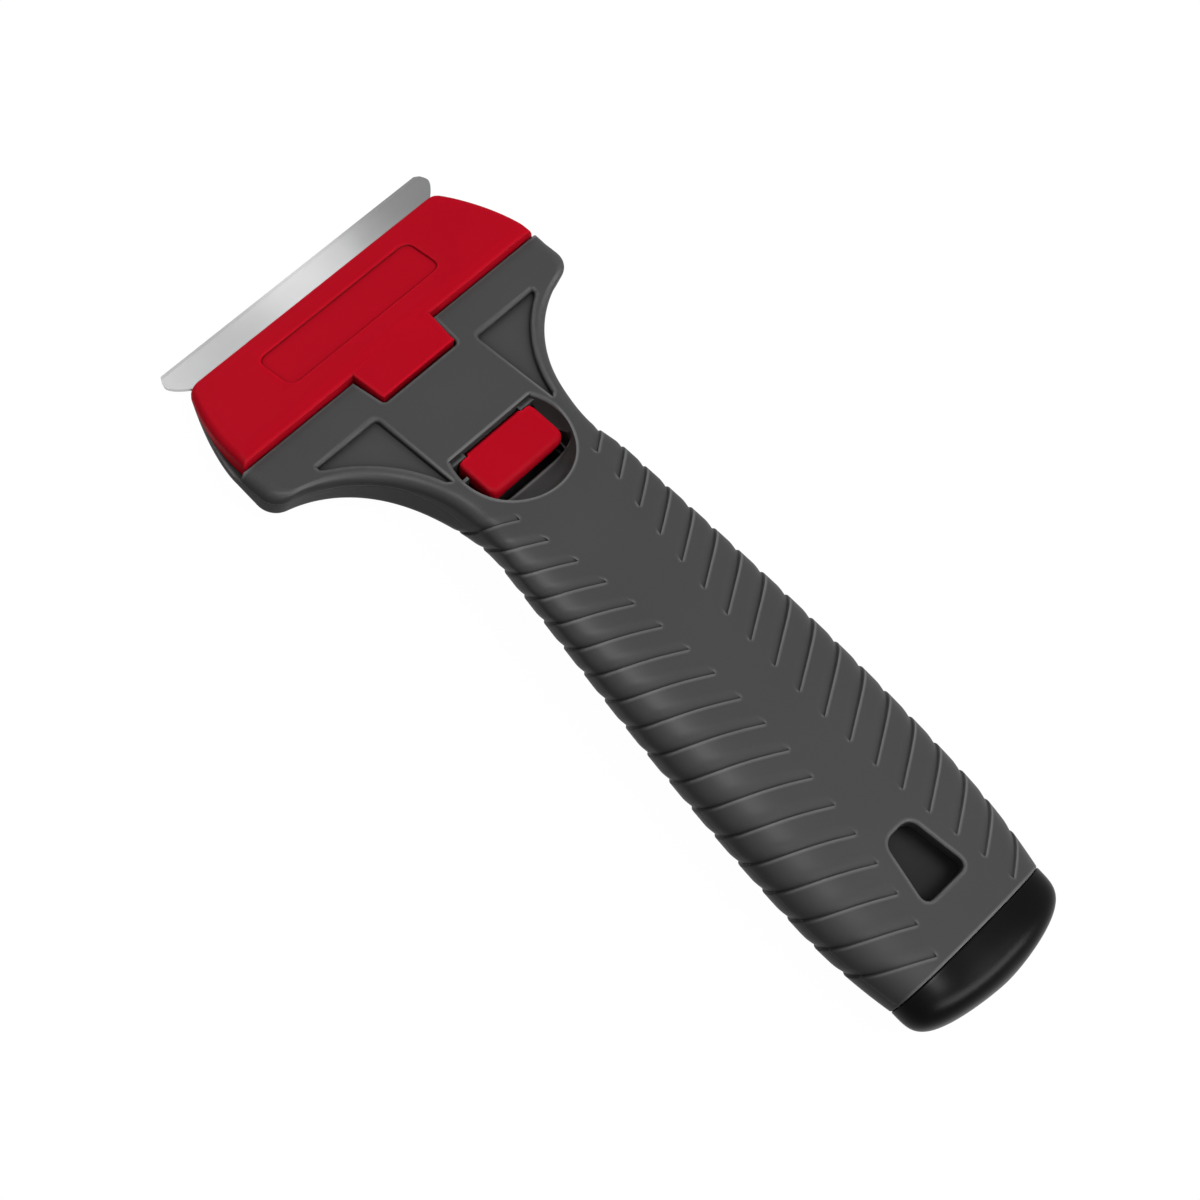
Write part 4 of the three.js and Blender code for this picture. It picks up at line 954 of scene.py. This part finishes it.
def lid_ring(p):
    share = (p + lid_reach) / (lid_rear_p + lid_reach)
    widening = math.sin(math.pi / 2 * share) ** 0.8
    half = lid_front_half_width + (lid_rear_half_width - lid_front_half_width) * widening
    ahead = min(p + lid_reach, lid_front_rim)
    behind = min(lid_rear_p - p, lid_rear_rim)
    half -= lid_corner - math.sqrt(lid_corner**2 - (lid_corner - min(p + lid_reach, lid_corner)) ** 2)
    top = float(lid_top(p))
    top -= lid_front_rim - math.sqrt(lid_front_rim**2 - (lid_front_rim - ahead) ** 2)
    top -= lid_rear_rim - math.sqrt(lid_rear_rim**2 - (lid_rear_rim - behind) ** 2)
    fillet = min(lid_end_fillet, 0.85 * (top - lid_base))
    points = [(q, top) for q in np.linspace(0, half - fillet, 14)[:-1]]
    for angle in np.linspace(0, math.pi / 2, 12):
        points.append((half - fillet + fillet * math.sin(angle), top - fillet + fillet * math.cos(angle)))
    points += [(half, lid_base), (half * 0.5, lid_base), (0, lid_base)]
    right = np.array([(p, q, h) for q, h in points])
    return np.concatenate([right, right[-2:0:-1] * (1, -1, 1)])


rows = list(-lid_reach + lid_front_rim * np.array((0.0, 0.03, 0.1, 0.22, 0.4, 0.62, 0.85)))
rows += list(np.linspace(-lid_reach + lid_corner, lid_ridge_p - 0.8, 26))
rows += list(np.linspace(lid_ridge_p - 0.6, lid_rear_p - lid_rear_rim, 9))
rows += list(lid_rear_p - lid_rear_rim * np.array((0.85, 0.62, 0.4, 0.22, 0.1, 0.03, 0.0)))
clamp_lid = loft("clamp_lid_moulding", [lid_ring(p) for p in rows], True)

tab_outline = [
    (tab_front_p, -tab_front_half_width),
    (lid_rear_p, -tab_front_half_width),
    (tab_rear_p, -tab_rear_half_width),
    (tab_rear_p, tab_rear_half_width),
    (lid_rear_p, tab_front_half_width),
    (tab_front_p, tab_front_half_width),
]
tab = plan_prism("tab", tab_outline, lid_base, 4)
past_tab = tab_rear_p + 1
tab_side = [(tab_front_p, lid_base - 1), (past_tab, lid_base - 1), (past_tab, float(lid_top(past_tab)))]
tab_side += [(p, float(lid_top(p)) - cut_overlap) for p in np.linspace(tab_rear_p, tab_front_p, 12)]
carve(tab, side_prism("tab_side", tab_side, 20), "INTERSECT")
bevel = tab.modifiers.new("bevel", "BEVEL")
bevel.width = 0.00045
bevel.segments = 4
bevel.limit_method = "ANGLE"
bevel.angle_limit = math.radians(50)
settle(tab)
carve(clamp_lid, tab, "UNION")

barrel_radius = 1.75
bore_radius = 1.15
lever_half_width = 8.2
lever_end_p = 31.0
lever_step_p = 20.5
lever_thickness = 1.9
lever_relief = 0.6
lever_top = -bridge - 0.3
lever_low = lever_top - 2.5
pad_height = spring_foot + spring_height + 0.3


def pad_corner(x):
    dx = x - deck_front_x
    dz = pad_height - deck_front_z
    return (dx * tilt_cos + dz * tilt_sin, dz * tilt_cos - dx * tilt_sin)


pad_front = pad_corner(spring_x - spring_radius)
pad_rear = pad_corner(spring_x + spring_radius)
lever_side = [
    (0.5, lid_base + 0.2),
    (tab_rear_p, lever_top - lever_relief),
    (pin_p - barrel_radius, lever_top),
    (lever_step_p, lever_top),
    (lever_step_p + 1, lever_low),
    (lever_end_p, lever_low),
    (lever_end_p, lever_low - lever_thickness),
    (pad_rear[0], lever_low - lever_thickness),
    pad_rear,
    pad_front,
    (pad_front[0], lever_low - lever_thickness),
    (lever_step_p - 1, lever_low - lever_thickness),
    (lever_step_p - 2, lever_top - lever_thickness),
    (2.5, lever_top - lever_thickness),
]
carve(clamp_lid, side_prism("lever", lever_side, lever_half_width), "UNION")
carve(clamp_lid, pin_bar("barrel", barrel_radius, lever_half_width), "UNION")
carve(clamp_lid, pin_bar("bore", bore_radius, 12))

pocket_top = blade_top + 0.3
pocket_rear = -5.8
pocket_half_width = 28.8
relief_rear = -18.6
peg_room_top = blade_height + 1.8
blade_pocket = rectangle(-40, pocket_rear, -pocket_half_width, pocket_half_width)
carve(clamp_lid, plan_prism("blade_pocket", blade_pocket, -8, pocket_top))
carve(clamp_lid, plan_prism("front_relief", rectangle(-40, relief_rear, -50, 50), -8, pocket_top))
for sign in (-1, 1):
    peg_ends = (peg_p, sign * peg_q, -8), (peg_p, sign * peg_q, peg_room_top)
    carve(clamp_lid, round_bar("peg_room", peg_hole, *peg_ends, 24))

panel_p = -10.3
panel_half_length = 4.2
panel_half_width = 18
panel_corner = 2.0
panel_depth = 0.35
panel_rim = 0.3
panel_slope = (lid_ridge_height - lid_front_height) / (lid_ridge_p + lid_reach)
panel_front = panel_p - panel_half_length
panel_rear = panel_p + panel_half_length
panel_corners = rectangle(panel_front, panel_rear, -panel_half_width, panel_half_width)
panel_rings = flared_prism(rounded(panel_corners, panel_corner, 8), -panel_depth, panel_rim)
for ring in panel_rings:
    ring[:, 2] += lid_front_height + panel_slope * (ring[:, 0] + lid_reach)
carve(clamp_lid, loft("panel", panel_rings, True))
red_plastic = moulded_plastic(
    "red_plastic", (0.515, 0.004, 0.0155),
    roughness=0.45, specular=0.014, highlight_strength=0.25, skin=0.0006, side=1.0,
)
finished(clamp_lid, red_plastic, 40)
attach(clamp_lid, "lid")
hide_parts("clamp_lid")

# Push button
# Red moulded plastic in the dish, guided by ribs at its front corners. Its rib below bears on the lever.

button_front = 23.3
button_rear = 32.2
button_half_width = 8.8
button_corner = 1.9
button_rim = 0.9
button_rear_height = -1.45
button_rise = 0.85
button_skirt = -3.3
button_corners = rectangle(button_front, button_rear, -button_half_width, button_half_width)
button_outline = rounded(button_corners, button_corner, 10)


def button_top(p):
    share = (button_rear - p) / (button_rear - button_front)
    return button_rear_height + button_rise * share + share * (1 - share)


rings = [np.column_stack([button_outline, np.full(len(button_outline), button_skirt)])]
for angle in np.linspace(0, np.pi / 2, 7):
    inner = grown(button_outline, -button_rim * (1 - math.cos(angle)))
    rings.append(np.column_stack([inner, button_top(inner[:, 0]) - button_rim * (1 - math.sin(angle))]))
centre = np.array(((button_front + button_rear) / 2, 0))
for share in (0.85, 0.65, 0.45, 0.25, 0.1):
    inner = centre + (rings[7][:, :2] - centre) * share
    rings.append(np.column_stack([inner, button_top(inner[:, 0])]))
button = loft("push_button_cap", rings, True)
button_base = lever_low + 0.3
button_rib = rectangle(27.4, 29.4, -8.0, 8.0)
carve(button, plan_prism("button_rib", button_rib, button_base, button_skirt + 0.5), "UNION")
for sign in (-1, 1):
    rib_room = rounded(rectangle(20.0, 24.1, sign * 6.3, sign * 12.0), 0.4, 5)
    carve(button, plan_prism("rib_room", rib_room, -10, 5))
finished(button, red_plastic, 40)
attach(button, "button")
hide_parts("push_button")

# Shell screws
# Plated cross-head screws that go up from below through the lower shell's bosses into the upper shell.

screw_sizes = {
    "Head Radius": 0.0021,
    "Head Height": 0.0016,
    "Shank Radius": 0.0011,
    "Shank Length": 0.0078,
    "Slot Width": 0.0006,
}


def screw_tree():
    """Node group that stands a cross-head screw on each point."""
    tree = bpy.data.node_groups.new("shell_screws", "GeometryNodeTree")
    tree.interface.new_socket("Geometry", in_out="INPUT", socket_type="NodeSocketGeometry")
    for name in screw_sizes:
        tree.interface.new_socket(name, in_out="INPUT", socket_type="NodeSocketFloat")
    tree.interface.new_socket("Material", in_out="INPUT", socket_type="NodeSocketMaterial")
    tree.interface.new_socket("Geometry", in_out="OUTPUT", socket_type="NodeSocketGeometry")
    start = Value(tree)
    group = tree.nodes.new("NodeGroupInput")
    given = {socket.name: Value(tree, socket) for socket in group.outputs if socket.name}
    head_height = given["Head Height"]
    head_size = {"Vertices": 32, "Radius": given["Head Radius"], "Depth": head_height}
    shank_size = {"Vertices": 20, "Radius": given["Shank Radius"], "Depth": given["Shank Length"]}
    head_place = start.node("ShaderNodeCombineXYZ", {}, {"Z": head_height * -0.5})
    shank_place = start.node("ShaderNodeCombineXYZ", {}, {"Z": given["Shank Length"] * 0.5})
    slot_place = start.node("ShaderNodeCombineXYZ", {}, {"Z": head_height * -0.9})
    head = start.node("GeometryNodeMeshCylinder", {}, head_size)
    head = start.node("GeometryNodeTransform", {}, {"Geometry": head, "Translation": head_place})
    shank = start.node("GeometryNodeMeshCylinder", {}, shank_size)
    shank = start.node("GeometryNodeTransform", {}, {"Geometry": shank, "Translation": shank_place})
    slot_length = given["Head Radius"] * 1.3
    slot_width = given["Slot Width"]
    for size_x, size_y in ((slot_length, slot_width), (slot_width, slot_length)):
        size = start.node("ShaderNodeCombineXYZ", {}, {"X": size_x, "Y": size_y, "Z": head_height})
        slot = start.node("GeometryNodeMeshCube", {}, {"Size": size})
        slot = start.node("GeometryNodeTransform", {}, {"Geometry": slot, "Translation": slot_place})
        difference = {"operation": "DIFFERENCE"}
        head = start.node("GeometryNodeMeshBoolean", difference, {"Mesh 1": head, "Mesh 2": slot})
    join = tree.nodes.new("GeometryNodeJoinGeometry")
    tree.links.new(head.socket, join.inputs[0])
    tree.links.new(shank.socket, join.inputs[0])
    screw = Value(tree, join.outputs[0])
    points = start.node("GeometryNodeMeshToPoints", {}, {"Mesh": given["Geometry"]})
    placed = start.node("GeometryNodeInstanceOnPoints", {}, {"Points": points, "Instance": screw})
    real = start.node("GeometryNodeRealizeInstances", {}, {"Geometry": placed})
    painted = start.node("GeometryNodeSetMaterial", {}, {"Geometry": real, "Material": given["Material"]})
    end = tree.nodes.new("NodeGroupOutput")
    tree.links.new(painted.socket, end.inputs[0])
    return tree


seat_mesh = bpy.data.meshes.new("screw_places")
seat_mesh.from_pydata(to_row([(x, y, screw_seat - 0.15) for x, y in screw_places]).tolist(), [], [])
screws = bpy.data.objects.new("shell_screws", seat_mesh)
bpy.context.scene.collection.objects.link(screws)
placer = screws.modifiers.new("screws", "NODES")
placer.node_group = screw_tree()
screw_inputs = {**screw_sizes, "Material": plating}
for item in placer.node_group.interface.items_tree:
    if item.name in screw_inputs:
        placer[item.identifier] = screw_inputs[item.name]
settle(screws)
finished(screws, plating, 30)
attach(screws, "handle")
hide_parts(*["shell_screw_%d" % i for i in range(1, 7)])

# Blade tray and spare blades
# A dark plastic cassette that slides in the hollow handle, open at its front, with the spare blades stacked
# inside.

dark_plastic = moulded_plastic(
    "dark_plastic", (0.022, 0.022, 0.023),
    roughness=0.5, specular=0.06, highlight_strength=0.4, skin=0.0006, side=0.55,
)
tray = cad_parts["blade_tray"]
tray.data.materials.clear()
tray.data.materials.append(dark_plastic)
for i in range(1, 6):
    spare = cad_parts["spare_blade_%d" % i]
    spare.data.materials.clear()
    spare.data.materials.append(blade_steel)

# End cap
# Glossy black plastic, moulded in one piece with a hollow spigot that plugs into the handle and holds the
# tray.

cap_front = handle_length + 0.12
cap_length = 9.78
cap_rim = 0.15
cap_closing = 0.992
spigot_length = 6.0
spigot_inset = wall + 0.9
tray_gap = 0.3
seam_ring = body_ring(handle_length, 0, 0, False, True)
rings = []
for angle in np.linspace(0, np.pi / 2, 5)[:-1]:
    shrink = cap_rim * (1 - math.sin(angle))
    ring = body_ring(handle_length, shrink, 0, False, True)
    ring[:, 0] = cap_front + cap_rim * (1 - math.cos(angle))
    rings.append(ring)
for share in np.sin(np.linspace(math.asin(cap_rim / cap_length), np.pi / 2, 40)):
    across = (1 - (cap_closing * share) ** 4) ** 0.71
    upright = (1 - (cap_closing * share) ** 5) ** 0.5
    ring = seam_ring.copy()
    ring[:, 0] = cap_front + cap_length * share
    ring[:, 1] *= across
    ring[:, 2] = widest_at_cap + (ring[:, 2] - widest_at_cap) * upright
    rings.append(ring)
end_cap = loft("end_cap_moulding", rings)
plug = [body_ring(handle_length - spigot_length / 2, spigot_inset, 0, False, False) for _ in range(2)]
plug[0][:, 0] = handle_length - spigot_length
plug[1][:, 0] = cap_front + 1.0
carve(end_cap, loft("spigot", plug), "UNION")
low, high = (1000 * np.array(corner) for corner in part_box("blade_tray"))
tray_rear = high[0] + middle_x
tray_room = rectangle(80.0, tray_rear + tray_gap, low[1] - tray_gap, high[1] + tray_gap)
carve(end_cap, plan_prism("tray_socket", tray_room, low[2] - tray_gap, high[2] + tray_gap, False))
black_plastic = moulded_plastic(
    "black_plastic", (0.006, 0.006, 0.0063),
    roughness=0.31, specular=0.028, highlight_strength=0.3, skin=0.0006, side=0.55,
)
finished(end_cap, black_plastic, 35)
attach(end_cap, "blade_store")
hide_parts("end_cap")
